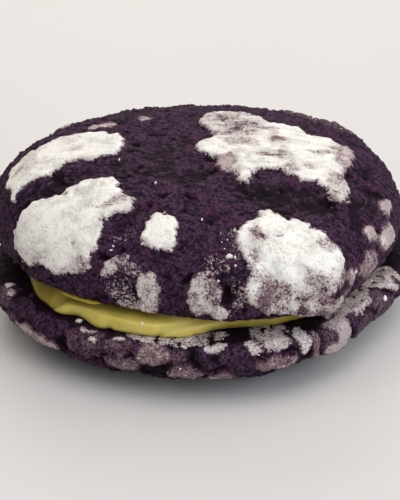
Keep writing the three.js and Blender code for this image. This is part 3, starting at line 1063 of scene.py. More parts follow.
@dataclass
class UpperCookie(Cookie):
    """The upper cookie: dome up, leaning a little, with broad plates of sugared skin between craggy dough."""

    piece_name: str = "upper_crust"
    node: str = "top_cookie"
    slot: str = "purple_dough"
    section: Section = Section(36.0, 15.5)
    waves: tuple[Wave, ...] = (
        Wave(2, 0.02, 0.013),
        Wave(3, -0.031, 0.012),
        Wave(4, -0.009, 0.014),
        Wave(9, 0.004, -0.003),
    )
    bulges: tuple[Bulge, ...] = (
        Bulge(-62, -53, 5, 4, 1.9),
        Bulge(-46, -28, 5, 6, -0.9),
        Bulge(18, 38, 6, 5, -0.5),
        Bulge(46, 62, 5, 5, 1.1),
        Bulge(108, 132, 6, 6, -0.9),
        Bulge(180, 212, 8, 7, -1.4),
    )
    place: Place = (-0.5, 1.5, 14.1)
    grain_seed: int = 5
    front_lean: float = 0.0123
    right_lean: float = 0.0209
    plate_rise: float = 0.75
    plate_shoulder: float = 0.7
    lobe_blend: float = 0.9
    ragged_sizes: tuple[float, ...] = (4.2, 1.8, 0.8)
    ragged_depths: tuple[float, ...] = (0.6, 0.7, 0.5)
    bare_rise: float = 0.4
    sugar_edge: Span = (-0.35, 0.6)
    bloom_edge: Span = (-0.5, 0.5)
    patch_edge: Span = (-0.9, 0.7)
    plates: tuple[Plate, ...] = (
        Plate(-27.7, -2.3, 7.2, 5.7, 42, Dusting.FULL),
        Plate(-24.0, 2.7, 4.4, 4.5, 0, Dusting.FULL),
        Plate(-18.7, 1.4, 5.1, 5.4, 0, Dusting.FULL),
        Plate(-15.6, -1.2, 2.0, 1.8, 0, Dusting.FULL),
        Plate(-32.0, -9.6, 0.9, 2.2, -10, Dusting.WORN),
        Plate(-26.9, -21.2, 8.0, 6.4, -24, Dusting.FULL),
        Plate(-19.2, -18.2, 4.7, 6.0, 0, Dusting.FULL),
        Plate(-16.6, -13.8, 1.7, 1.6, 0, Dusting.FULL),
        Plate(-22.9, -26.8, 5.4, 5.5, 0, Dusting.FULL),
        Plate(-14.6, -20.5, 3.0, 2.4, 10, Dusting.WORN),
        Plate(-7.1, -28.2, 2.6, 4.5, 8, Dusting.FULL),
        Plate(-9.2, -29.5, 1.3, 0.8, 10, Dusting.FULL),
        Plate(5.0, 12.2, 5.8, 5.6, 15, Dusting.WORN),
        Plate(6.6, 6.4, 4.6, 4.0, 0, Dusting.THIN),
        Plate(4.6, -0.6, 5.8, 4.0, 0, Dusting.FULL),
        Plate(12.6, 1.4, 6.4, 9.9, -10, Dusting.FULL),
        Plate(20.4, -1.7, 4.5, 9.6, -2, Dusting.FULL),
        Plate(16.8, -8.6, 2.8, 2.4, 0, Dusting.WORN),
        Plate(23.4, -11.2, 2.8, 4.2, -4, Dusting.THIN),
        Plate(7.0, -8.6, 1.7, 4.9, -4, Dusting.FULL),
        Plate(4.4, -6.4, 1.8, 3.4, -10, Dusting.VEIL),
        Plate(24.8, 1.2, 2.3, 5.2, -6, Dusting.VEIL),
        Plate(12.9, -29.3, 7.5, 6.4, -10, Dusting.FULL),
        Plate(18.5, -30.3, 6.0, 5.3, -24, Dusting.FULL),
        Plate(22.4, -33.6, 3.8, 3.8, -30, Dusting.SPARSE),
        Plate(18.2, -36.6, 4.6, 2.8, 10, Dusting.THIN),
        Plate(12.4, -37.2, 5.0, 3.8, 0, Dusting.THIN),
        Plate(10.2, -22.7, 1.1, 1.5, 0, Dusting.WORN),
        Plate(-15.4, -33.4, 3.1, 1.2, 14, Dusting.THIN),
        Plate(-9.7, -38.8, 2.1, 2.8, 10, Dusting.SPARSE),
        Plate(-10.9, -41.4, 1.2, 1.7, 0, Dusting.SPARSE),
        Plate(0.3, -39.2, 2.9, 3.5, -20, Dusting.THIN),
        Plate(2.6, -42.2, 2.4, 1.3, -12, Dusting.THIN),
        Plate(34.4, -9.2, 1.5, 3.0, -20, Dusting.VEIL),
        Plate(30.8, -19.1, 2.0, 1.3, 33, Dusting.VEIL),
        Plate(36.5, -14.9, 1.8, 4.2, -30, Dusting.VEIL),
        Plate(32.9, -24.2, 2.1, 4.5, -42, Dusting.FILM),
        Plate(26.6, -30.4, 1.2, 3.0, -25, Dusting.HAZE),
        Plate(21.0, 21.5, 8.0, 5.0, -42, Dusting.BLOOM),
        Plate(-9.0, 37.0, 7.0, 4.2, 10, Dusting.FULL),
        Plate(-15.2, 34.0, 4.4, 3.0, 30, Dusting.FULL),
        Plate(-5.0, 41.0, 3.4, 2.4, 0, Dusting.WORN),
        Plate(-3.4, 33.0, 2.6, 1.7, -20, Dusting.THIN),
        Plate(12.0, 38.0, 6.0, 3.6, -15, Dusting.WORN),
        Plate(17.0, 35.0, 3.4, 2.5, -40, Dusting.THIN),
        Plate(8.4, 42.0, 3.0, 2.0, 0, Dusting.SPARSE),
        Plate(28.0, 28.0, 4.2, 5.4, 45, Dusting.WORN),
        Plate(32.0, 22.2, 2.9, 3.6, 20, Dusting.THIN),
        Plate(24.8, 33.2, 2.8, 2.2, -45, Dusting.SPARSE),
        Plate(-26.0, 28.0, 4.8, 5.6, -45, Dusting.FULL),
        Plate(-21.4, 33.2, 3.4, 2.6, 30, Dusting.WORN),
        Plate(-31.4, 24.2, 4.0, 2.5, 50, Dusting.FULL),
        Plate(-26.8, 21.4, 2.2, 2.6, 0, Dusting.THIN),
    )
    hollows: tuple[Hollow, ...] = (
        Hollow(14.0, -16.6, 9.0, 3.6, -4, 1.0),
        Hollow(-26.0, -11.4, 8.0, 2.4, 28, 0.7),
        Hollow(-6.0, -8.0, 10.0, 6.0, 30, 0.4),
        Hollow(29.4, -12.0, 2.4, 8.0, -20, 0.6),
        Hollow(4.9, -39.6, 1.5, 1.5, 0, 1.3),
    )
    patches: tuple[Patch, ...] = (
        Patch(-18.2, 12.2, 2.4, 1.6, 10, 0.08, 1.0),
        Patch(-10.9, 15.4, 1.2, 1.0, 0, 0.1, 1.0),
        Patch(-21.6, -0.6, 0.9, 0.8, 0, -0.4),
        Patch(-31.4, -3.4, 1.0, 1.2, 0, -0.3),
        Patch(-34.6, -8.8, 1.4, 2.6, 0, -0.3),
        Patch(-34.6, -18.2, 1.2, 4.2, 8, -0.34),
        Patch(-31.6, -23.8, 2.8, 1.0, -45, -0.28),
        Patch(-30.5, -18.8, 0.7, 0.6, 0, -0.32),
        Patch(-23.6, -17.1, 0.7, 0.5, 0, -0.28),
        Patch(13.2, -36.1, 1.3, 0.7, 0, -0.32),
        Patch(11.1, -37.2, 0.8, 0.6, 0, -0.28),
        Patch(9.3, -35.6, 1.0, 2.2, 0, 0.28),
        Patch(11.4, -39.0, 2.6, 1.2, 0, -0.08),
        Patch(17.4, -32.4, 2.2, 0.6, -8, -0.36),
        Patch(18.8, -34.3, 2.4, 1.2, -6, -0.26),
        Patch(20.2, -32.0, 4.4, 1.5, 28, -0.28),
        Patch(24.2, -30.8, 1.6, 3.2, -25, -0.42),
        Patch(21.4, -34.8, 0.9, 0.7, 0, -0.4),
        Patch(16.4, -38.6, 7.0, 1.2, 4, -0.1),
        Patch(20.8, -36.2, 2.8, 1.4, 10, -0.18),
        Patch(18.3, -38.1, 0.6, 0.7, 0, -0.6, -0.3),
        Patch(24.6, -32.5, 2.6, 0.75, 44, -0.65, -0.8),
        Patch(16.8, -37.9, 0.7, 0.6, 0, 0.35),
        Patch(9.0, -27.9, 1.8, 0.9, -30, -0.55),
        Patch(12.6, -27.4, 0.9, 0.5, 10, -0.5),
        Patch(20.1, -26.8, 1.7, 1.0, 15, -0.55),
        Patch(8.4, -31.6, 0.8, 1.0, 0, -0.3),
        Patch(23.8, -34.0, 2.0, 2.6, -20, -0.1),
        Patch(25.2, -32.2, 0.5, 1.0, -30, -0.5),
        Patch(-14.0, -19.6, 2.0, 1.1, 20, -0.35),
        Patch(-16.8, -20.8, 1.1, 0.7, 0, -0.35),
        Patch(-23.2, -30.9, 2.6, 0.8, -10, -0.4),
        Patch(-27.0, -19.6, 0.9, 0.7, 0, -0.3),
        Patch(6.1, 1.1, 2.2, 1.5, 0, -0.4),
        Patch(7.1, 10.2, 2.6, 1.4, 0, -0.36),
        Patch(13.3, 3.6, 2.0, 1.0, 0, -0.36),
        Patch(11.4, -3.6, 2.4, 0.9, 10, -0.35),
        Patch(18.9, -6.2, 1.4, 1.4, 0, -0.36),
        Patch(1.2, 13.4, 3.0, 3.0, 0, -0.25),
        Patch(-15.4, -37.3, 3.0, 1.6, -10, 0.22),
        Patch(-14.4, -40.9, 2.8, 1.5, -14, 0.36),
        Patch(-12.4, -34.8, 1.6, 0.8, -35, 0.26),
        Patch(-7.9, -41.4, 0.8, 1.2, 0, -0.35),
        Patch(-14.0, -28.4, 2.0, 0.8, 0, 0.16),
        Patch(5.0, -29.4, 0.9, 3.6, 0, 0.18),
        Patch(6.2, -38.2, 2.0, 2.6, 0, 0.14),
        Patch(6.2, -41.4, 2.4, 1.4, 10, 0.12),
        Patch(2.2, -34.4, 2.2, 1.6, 0, 0.16),
        Patch(4.4, -39.8, 1.1, 1.2, 0, -0.4),
        Patch(2.2, -38.7, 1.2, 1.7, 0, -0.22),
        Patch(-10.6, 37.4, 2.6, 0.9, 20, -0.45),
        Patch(-6.6, 38.8, 1.2, 1.4, 0, -0.3),
        Patch(13.2, 38.8, 2.4, 1.0, -10, -0.35),
        Patch(29.0, 26.8, 1.2, 2.4, 40, -0.4),
        Patch(-27.4, 29.4, 1.8, 1.0, 0, -0.45),
        Patch(-24.0, 26.4, 1.0, 1.4, 0, -0.3),
    )
    lean_dust: float = 0.02
    wear_size: float = 5.5
    wear_share: float = 0.3
    wear_span: Span = (0.1, 0.6)
    streaked: Lobe = Lobe(12.0, 2.0, 17.0, 13.0, 0)
    streaked_edge: Span = (-3.0, 3.0)
    streak_size: float = 2.0
    streak_stretch: float = 0.22
    streak_share: float = 0.24
    streaked_wear: float = 0.07

    def relief(self, points: Numbers, spots: Trace, angle: Numbers) -> Relief:
        """Works out plates that run together, hollows between them, and the sugar on them.

        Args:
            points: Rows of x, y and z on the plain crust.
            spots: Where the points lie on the section.
            angle: Their angles round the axis.

        Returns:
            The height of the large forms at each point, its sugar, its bloom and how deep in a crack it lies.
        """
        ragged = [Grain(self.grain_seed + 1), Grain(self.grain_seed + 2)]
        x, y = spots.travel * np.cos(angle), spots.travel * np.sin(angle)
        for size, depth in zip(self.ragged_sizes, self.ragged_depths):
            x = x + depth * ragged[0].at(points, size)
            y = y + depth * ragged[1].at(points, size)
        depths = np.array([plate.depth(x, y) for plate in self.plates])
        weights = np.exp(depths / self.lobe_blend)
        inside = self.lobe_blend * np.log(weights.sum(axis=0))
        shares = weights / weights.sum(axis=0)
        coat = np.array([plate.dusting.sugar for plate in self.plates]) @ shares
        haze = np.array([plate.dusting.bloom for plate in self.plates]) @ shares
        plate_share = ease(inside, -self.plate_shoulder, self.plate_shoulder)
        sugar = (coat - self._wear(points, x, y)) * ease(inside, *self.sugar_edge) + self.lean_dust
        bloom = haze * ease(inside, *self.bloom_edge)
        for patch in self.patches:
            within = ease(patch.depth(x, y), *self.patch_edge)
            sugar = sugar + patch.share * within
            bloom = bloom + patch.bloom * within
        hollow = sum(hollow.dip(x, y) for hollow in self.hollows) * (1.0 - plate_share)
        coated = np.minimum(coat / Dusting.THIN.sugar, 1.0)
        rise = self.plate_rise * plate_share * (self.bare_rise + (1.0 - self.bare_rise) * coated)
        return Relief(rise - hollow, sugar, bloom, np.clip(hollow, 0.0, 1.0))

    def _wear(self, points: Numbers, x: Numbers, y: Numbers) -> Numbers:
        """Works out how much sugar is worn off, in soft spots and, on the back plate, in long streaks.

        Args:
            points: Rows of x, y and z on the plain crust.
            x: Places along x on the peeled skin.
            y: Places along y on it.

        Returns:
            The share of a full coat that is missing.
        """
        spotted = Grain(self.grain_seed + 3).layered(points, self.wear_size, layers=3)
        drawn_out = points * np.array([self.streak_stretch, 1.0, 1.0])
        streaked = Grain(self.grain_seed + 4).layered(drawn_out, self.streak_size, layers=2)
        streaks = self.streaked_wear + self.streak_share * ease(streaked, *self.wear_span)
        on_streaked = ease(self.streaked.depth(x, y), *self.streaked_edge)
        return self.wear_share * ease(spotted, *self.wear_span) + streaks * on_streaked

    def settle(self, points: Numbers) -> Numbers:
        """Leans the cookie to the front and the right, then sets it on the cream.

        Args:
            points: Points in the cookie's own frame.

        Returns:
            The points in the model's frame.
        """
        front_cos, front_sin = math.cos(self.front_lean), math.sin(self.front_lean)
        right_cos, right_sin = math.cos(self.right_lean), math.sin(self.right_lean)
        lean_front = np.array([[1.0, 0.0, 0.0], [0.0, front_cos, -front_sin], [0.0, front_sin, front_cos]])
        lean_right = np.array([[right_cos, 0.0, right_sin], [0.0, 1.0, 0.0], [-right_sin, 0.0, right_cos]])
        return points @ (lean_front @ lean_right).T + np.array(self.place)


@dataclass(frozen=True)
class KnobRow:
    """A row of knobs round the lower crust, from one bearing to another."""

    start: float
    end: float
    drop: float
    pitch: float


@dataclass
class LowerCookie(Cookie):
    """The lower cookie: dome down, with a knobbly cracked side, and pressed flat where it rests."""

    piece_name: str = "lower_crust"
    node: str = "bottom_cookie"
    slot: str = "purple_dough"
    section: Section = Section(37.1, 10.95)
    waves: tuple[Wave, ...] = (
        Wave(2, 0.009, -0.01),
        Wave(3, 0.015, -0.014),
        Wave(4, -0.009, -0.017),
        Wave(11, 0.003, 0.004),
    )
    bulges: tuple[Bulge, ...] = (
        Bulge(-44, -23, 7, 7, -1.5),
        Bulge(-118, -100, 7, 7, -0.6),
        Bulge(-150, -122, 8, 6, -0.8),
    )
    place: Place = (-0.5, 0.2, 10.5)
    grain_seed: int = 23
    side_span: Span = (0.55, 0.8)
    underside_step: float = 0.75
    knob_rise: float = 1.1
    knob_shoulder: float = 0.55
    ragged_size: float = 2.4
    ragged_depth: float = 0.8
    smallest_radius: float = 1.0
    whole_underside: float = 17.0
    sugar_edge: Span = (-0.1, 1.0)
    bloom_edge: Span = (-0.2, 1.0)
    ledge_edge: Span = (-0.3, 0.6)
    row_half_width: float = 0.43
    row_half_height: float = 2.4
    row_jitter: float = 0.5
    row_drop_jitter: float = 1.0
    row_draws: int = 4
    row_seed: int = 11
    row_rubbing: float = 0.9
    rub_size: float = 4.6
    rub_span: Span = (-0.15, 0.25)
    broken_size: float = 1.1
    broken_stretch: float = 0.45
    broken_span: Span = (0.05, 0.6)
    broken_share: float = 0.64
    knob_broken_share: float = 0.4
    crumb: CrumbRelief = CrumbRelief(
        swell_depth=0.3, lump_depth=0.34, grit_depth=0.3, pit_depth=0.5, level=0.16
    )
    front_knobs: tuple[Knob, ...] = (
        Knob(-154, 1.8, 3.0, 2.4, Dusting.BLOOM),
        Knob(-148.5, 5.0, 2.6, 2.0, Dusting.BLOOM),
        Knob(-144.5, 1.6, 3.4, 2.0, Dusting.BARE),
        Knob(-138.5, 5.3, 6.4, 1.8, Dusting.HAZE),
        Knob(-133.5, 1.8, 4.0, 2.0, Dusting.BARE),
        Knob(-122.5, 7.0, 4.2, 1.8, Dusting.BARE),
        Knob(-121, 2.6, 4.2, 3.0, Dusting.BLOOM),
        Knob(-111.4, 2.2, 2.9, 2.2, Dusting.BLOOM),
        Knob(-110.5, 5.2, 3.6, 2.1, Dusting.FILM),
        Knob(-102.6, 2.7, 3.4, 2.4, Dusting.FILM),
        Knob(-96.0, 2.6, 1.9, 1.8, Dusting.BLOOM),
        Knob(-94, 5.8, 3.2, 2.0, Dusting.FILM),
        Knob(-87.2, 2.4, 2.8, 2.4, Dusting.BARE),
        Knob(-84.5, 7.0, 2.8, 1.6, Dusting.FILM),
        Knob(-80, 4.2, 2.7, 3.4, Dusting.BARE),
        Knob(-76.4, 1.2, 1.8, 1.9, Dusting.THIN),
        Knob(-70.4, 0.9, 3.0, 1.8, Dusting.THIN),
        Knob(-71.0, 4.6, 4.2, 1.9, Dusting.FILM),
        Knob(-63.2, 1.7, 1.7, 2.6, Dusting.THIN),
        Knob(-59.6, 3.2, 1.2, 2.8, Dusting.FILM),
        Knob(-52.2, 3.0, 3.8, 4.2, Dusting.BLUSH),
        Knob(-49.4, 2.6, 2.1, 3.4, Dusting.VEIL),
        Knob(-52.6, 5.2, 2.9, 1.7, Dusting.VEIL),
        Knob(-52.4, 0.6, 2.2, 1.4, Dusting.VEIL),
        Knob(-42.0, 1.6, 3.4, 2.2, Dusting.BARE),
        Knob(-38, 5.0, 4.0, 2.6, Dusting.BLUSH),
        Knob(-31, 1.6, 3.2, 2.2, Dusting.BLUSH),
        Knob(-26, 5.0, 3.8, 2.6, Dusting.BLUSH),
        Knob(-19, 1.6, 3.6, 2.2, Dusting.BARE),
    )
    rows: tuple[KnobRow, ...] = (
        KnobRow(-8, 198, 2.6, 6.6),
        KnobRow(-14, 206, 7.8, 7.6),
        KnobRow(-180, 180, 13.5, 8.6),
        KnobRow(-180, 180, 20.5, 9.0),
    )
    row_dustings: tuple[Dusting, ...] = (
        Dusting.BARE,
        Dusting.BLOOM,
        Dusting.THIN,
        Dusting.BARE,
        Dusting.FILM,
        Dusting.BARE,
        Dusting.WORN,
    )
    ledge_sugar: tuple[Knob, ...] = (
        # The greyer patches in front lie on the ledge under the cream, where their sugar is painted greyer as
        # painted shade under the upper cookie.
        Knob(-102.5, -0.5, 4.8, 1.6, Dusting.SHADED_LEDGE),
        Knob(-95, -0.3, 4.6, 1.6, Dusting.SHADED_LEDGE),
        Knob(-89.5, -2.4, 4.6, 2.2, Dusting.SHADED_LEDGE),
        Knob(-86.5, 1.2, 1.8, 1.4, Dusting.THIN),
        Knob(-70.5, -1.8, 3.4, 3.0, Dusting.SHADED_LEDGE),
        Knob(-62.7, 0.2, 1.1, 2.2, Dusting.THIN),
        Knob(-47.5, -1.2, 2.6, 2.2, Dusting.MILKY),
        Knob(-38.5, -1.4, 5.8, 3.6, Dusting.MILKY),
        Knob(-20.5, -1.0, 4.6, 3.6, Dusting.MILKY),
        Knob(-126.9, -1.2, 0.8, 0.9, Dusting.FULL),
        Knob(-121.6, 0.5, 1.7, 0.6, Dusting.THIN),
        Knob(-119, 1.9, 0.7, 0.5, Dusting.WORN),
        Knob(-112, 1.0, 1.1, 0.5, Dusting.WORN),
        Knob(-156.6, 0.2, 1.4, 1.2, Dusting.WORN),
        Knob(-152.6, 0.8, 1.1, 0.9, Dusting.THIN),
    )

    def step_at(self, radius: float) -> float:
        """Gives the distance between points of the crust at a distance from the axis."""
        side = float(ease(np.array(radius / self.section.radius), *self.side_span))
        return self.underside_step + (self.crust_step - self.underside_step) * side

    def knobs(self) -> list[Knob]:
        """Lists every knob: those at the front, then the rows, each a little out of line.

        Returns:
            The knobs.
        """
        knobs = list(self.front_knobs)
        seed = self.row_seed
        for row in self.rows:
            row_radius = self.section.radius - max(row.drop - 0.5 * self.place[2], 0.0)
            length = row.end - row.start
            count = round(math.radians(length) * row_radius / row.pitch)
            for index in range(count):
                along, down, wide, high = (seeded_draw(seed + draw) - 0.5 for draw in range(self.row_draws))
                seed += self.row_draws
                knobs.append(
                    Knob(
                        row.start + length * (index + 0.5 + self.row_jitter * along) / count,
                        row.drop + self.row_drop_jitter * down,
                        row.pitch * self.row_half_width * (1.0 + self.row_jitter * wide),
                        self.row_half_height * (1.0 + self.row_jitter * high),
                        self.row_dustings[seed % len(self.row_dustings)],
                        self.row_rubbing,
                    )
                )
        return knobs

    def relief(self, points: Numbers, spots: Trace, angle: Numbers) -> Relief:
        """Works out separate knobs with cracks between them, and the sugar on them.

        Args:
            points: Rows of x, y and z on the plain crust.
            spots: Where the points lie on the section.
            angle: Their angles round the axis.

        Returns:
            The height of the large forms at each point, its sugar, its bloom and how deep in a crack it lies.
        """
        ragged = [Grain(self.grain_seed + 1), Grain(self.grain_seed + 2)]
        shift = self.ragged_depth * ragged[0].layered(points, self.ragged_size, layers=2)
        slide = self.ragged_depth * ragged[1].layered(points, self.ragged_size, layers=2)
        bearing = -angle + shift / np.maximum(spots.radius, self.smallest_radius)
        drop = self.section.rim_travel() - spots.travel + slide
        best = self.whole_underside - spots.travel
        sugar = np.zeros(len(points))
        bloom = np.zeros(len(points))
        drawn_out = points * np.array([1.0, self.broken_stretch, 1.0])
        broken = Grain(self.grain_seed + 3).layered(drawn_out, self.broken_size, layers=2)
        gaps = ease(broken, *self.broken_span)
        missing = self.broken_share * gaps
        whole = 1.0 - self.knob_broken_share * gaps
        rubbed = ease(Grain(self.grain_seed + 4).layered(points, self.rub_size, layers=3), *self.rub_span)
        for knob in self.knobs():
            depth = knob.depth(bearing, spots.radius, drop)
            kept = 1.0 - knob.rubbing * rubbed
            sugar = np.maximum(sugar, knob.dusting.sugar * kept * whole * ease(depth, *self.sugar_edge))
            bloom = np.maximum(bloom, knob.dusting.bloom * kept * ease(depth, *self.bloom_edge))
            best = np.maximum(best, depth)
        for patch in self.ledge_sugar:
            within = ease(patch.depth(bearing, spots.radius, drop), *self.ledge_edge)
            sugar = np.maximum(sugar, patch.dusting.sugar * within - missing)
            bloom = np.maximum(bloom, patch.dusting.bloom * within - missing)
        knob_share = ease(best, -self.knob_shoulder, self.knob_shoulder)
        return Relief(self.knob_rise * (knob_share - 0.5), sugar, bloom, 1.0 - knob_share)

    def bearing(self, angle: Numbers) -> Numbers:
        """Gives bearings in degrees, seen from above the sandwich, for angles round the cookie's axis."""
        return -np.degrees(angle)

    def rest(self, own: Numbers) -> Numbers:
        """Presses the dome flat where it meets the table."""
        return np.column_stack([own[:, :2], np.minimum(own[:, 2], self.place[2])])

    def settle(self, points: Numbers) -> Numbers:
        """Turns the cookie over, dome down, and sets it on the table."""
        return points * np.array([1.0, -1.0, -1.0]) + np.array(self.place)


@dataclass(frozen=True)
class Fold:
    """A crease up the cream's side from its foot, over which the cream above lies further in."""

    start: float
    end: float
    climb: float
    highest: float
    depth: float
    opening: float = 2.0
    softness: float = 0.07

    def at(self, bearing: Numbers, down: Numbers) -> Numbers:
        """Works out how far in the side lies.

        Args:
            bearing: Bearings in degrees.
            down: Shares of the way down the side.

        Returns:
            The distance inwards.
        """
        past_start = np.maximum(bearing - self.start, 0.0)
        crease = self.highest + (1.0 - self.highest) * np.exp(-past_start / self.climb)
        above = 1.0 - ease(down, crease - self.softness, crease + self.softness)
        begun = ease(bearing, self.start, self.start + self.opening)
        not_ended = 1.0 - ease(bearing, self.start + 0.5 * (self.end - self.start), self.end)
        return self.depth * above * begun * not_ended


@dataclass
class CreamFilling:
    """The cream, spread between the flat faces.

    Its bulging side folds over itself at the front left, and painted shade darkens its ends and its top under
    the crusts.
    """

    piece_name: str = "cream_layer"
    node: str = "cream_filling"
    slot: str = "pale_cream"
    radius: float = 31.4
    bulge: float = 1.5
    waves: tuple[Wave, ...] = (
        Wave(2, 0.012, -0.016),
        Wave(5, -0.012, 0.008),
        Wave(8, 0.007, 0.009),
        Wave(13, -0.005, 0.004),
    )
    bulges: tuple[Bulge, ...] = (
        Bulge(186, 205, 8, 2, -2.6),
        Bulge(211, 232, 8, 5, 2.3),
        Bulge(238, 274, 6, 8, 2.9),
        Bulge(291, 309, 7, 9, 1.4),
    )
    top_bulges: tuple[Bulge, ...] = (Bulge(186, 205, 8, 2, -2.6), Bulge(246, 309, 10, 9, 1.7))
    folds: tuple[Fold, ...] = (
        Fold(224.5, 270.0, 3.4, 0.36, 4.6, opening=6.0),
        Fold(260.0, 284.0, 6.0, 0.30, 0.5),
    )
    notches: tuple[float, ...] = (246.5, 271.5)
    notch_width: float = 0.9
    notch_depth: float = 0.6
    notch_span: Span = (0.5, 1.0)
    lip: Bulge = Bulge(228, 245, 1.5, 5, 2.2)
    lip_span: Span = (0.06, 0.18)
    foot_span: Span = (0.1, 0.9)
    swell_power: float = 0.8
    # Painted shade on the cream: darker at its front left, at its front right and along the top of its side
    # under the crusts.
    painted_shade: tuple[Bulge, ...] = (Bulge(186, 227, 8, 4, 0.92), Bulge(280, 330, 8, 8, 0.45))
    painted_shade_at_top: float = 0.6
    painted_shade_depth: float = 0.45
    place: Place = (-2.4, -0.1, 10.5)
    gap: float = 3.6
    overlap: float = 0.12
    stroke_size: float = 5.0
    stroke_depth: float = 0.35
    stroke_rise: float = 9.0
    side_rings: int = 40
    side_step: float = 0.4
    face_step_growth: float = 1.6
    bake_margin: float = 0.98
    grain_seed: int = 41

    def build(self, upper: UpperCookie, material: bpy.types.Material) -> Surface:
        """Builds the cream's mesh and dresses it.

        Args:
            upper: The cookie that lies on the cream.
            material: The cream's finish.

        Returns:
            The finished skin.
        """
        ring_down, ring_radius, is_side = self._rings()
        steps = np.where(is_side, self.side_step, np.abs(np.gradient(ring_radius)) + self.side_step)
        counts = [max(round(FULL_TURN * radius / step), 1) for radius, step in zip(ring_radius, steps)]
        counts[0] = counts[-1] = 1
        skin = RingSkin(counts)
        down = ring_down[skin.ring]
        side_reach = np.where(is_side[skin.ring], self._side_reach(skin.angle, down), 0.0)
        reach = (ring_radius[skin.ring] + side_reach) * self._outline(skin.angle, down)
        points = polar_points(reach, skin.angle, np.zeros(len(reach))) + np.array(self.place)
        points[:, 2] = self._height(points, upper, (1.0 + np.cos(math.pi * down)) / 2.0)
        travel = np.concatenate([[0.0], np.cumsum(np.abs(np.diff(ring_radius)) + self.side_step / 2.0)])
        peeled = polar_points(travel[skin.ring], skin.angle, np.zeros(len(reach)))[:, :2]
        flat_map = 0.5 + 0.5 * self.bake_margin * peeled / travel[-1]
        # The layer of painted shade for the cream's finish.
        layers = {CREAM_SHADE_LAYER: self._painted_shade(skin.angle, down)}
        piece = make_piece(self.piece_name, points, skin.faces, material, layers, flat_map[skin.faces])
        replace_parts(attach(piece, "root"), self.node)
        return Surface(points, peeled, np.zeros(len(points)), skin.faces)

    def _rings(self) -> tuple[Numbers, Numbers, Numbers]:
        """Chooses the rings of points: over the upper face, down the side and in under the lower face.

        Returns:
            Each ring's share of the way down the side, its radius, and whether it belongs to the side.
        """
        inner = self._face_radii()
        on_face = np.zeros(len(inner))
        down = np.concatenate([on_face, np.linspace(0, 1, self.side_rings), on_face + 1.0])
        radius = np.concatenate([inner[::-1], np.full(self.side_rings, self.radius - self.bulge), inner])
        is_side = np.concatenate([on_face, np.ones(self.side_rings), on_face]).astype(bool)
        return down, radius, is_side

    def _face_radii(self) -> Numbers:
        """Chooses the rings that cover a flat face.

        Returns:
            Their radii, from the face's rim to its middle.
        """
        radii = []
        step = self.side_step
        radius = self.radius - self.bulge - step
        while radius > step:
            radii.append(radius)
            step *= self.face_step_growth
            radius -= step
        return np.array([*radii, 0.0])

    def _outline(self, angle: Numbers, down: Numbers) -> Numbers:
        """Works out how the outline strays from a circle, with its bulges at the top and the foot.

        Args:
            angle: Angles round the axis.
            down: Shares of the way down the side.

        Returns:
            The factor on the radius at each point.
        """
        bearing = np.degrees(angle)
        foot = sum(bulge.at(bearing) for bulge in self.bulges)
        top = sum(bulge.at(bearing) for bulge in self.top_bulges)
        bulged = top + (foot - top) * ease(down, *self.foot_span)
        return wave_factor(self.waves, angle) + bulged / self.radius

    def _painted_shade(self, angle: Numbers, down: Numbers) -> Numbers:
        """Works out the painted shade on the cream: along stretches of its edge and near the upper crust.

        Args:
            angle: Angles round the axis.
            down: Shares of the way down the side.

        Returns:
            The share of the painted shade colour at each point.
        """
        along_edge = sum(stretch.at(np.degrees(angle)) for stretch in self.painted_shade)
        near_crust = self.painted_shade_at_top * (1.0 - ease(down, 0.0, self.painted_shade_depth))
        return np.maximum(along_edge, near_crust)

    def _side_reach(self, angle: Numbers, down: Numbers) -> Numbers:
        """Works out how far the side bulges.

        Args:
            angle: Angles round the axis.
            down: Shares of the way down the side.

        Returns:
            The bulge past the flat faces' rim.
        """
        bearing = np.degrees(angle)
        around = polar_points(np.full(len(angle), self.radius), angle, self.stroke_rise * down)
        strokes = self.stroke_depth * Grain(self.grain_seed).layered(around, self.stroke_size, layers=2)
        dents = sum(np.exp(-(((bearing - notch) / self.notch_width) ** 2)) for notch in self.notches)
        swell = (self.bulge + strokes) * np.sin(math.pi * down) ** self.swell_power
        folded = sum(fold.at(bearing, down) for fold in self.folds)
        inward = folded + self.notch_depth * dents * ease(down, *self.notch_span)
        lip = self.lip.at(bearing) * (1.0 - ease(down, *self.lip_span))
        return swell + lip - inward * (1.0 - lip / self.lip.reach)

    def _height(self, points: Numbers, upper: UpperCookie, rise: Numbers) -> Numbers:
        """Works out heights between the two cookies.

        Args:
            points: Rows of x, y and z.
            upper: The cookie that lies on the cream.
            rise: Shares of the way up from the lower cookie.

        Returns:
            The height of each point.
        """
        x, y = points[:, 0] - upper.place[0], points[:, 1] - upper.place[1]
        lean = y * upper.front_lean - x * upper.right_lean
        low = self.place[2] - self.overlap
        high = self.place[2] + self.gap + lean + self.overlap
        return low + (high - low) * rise


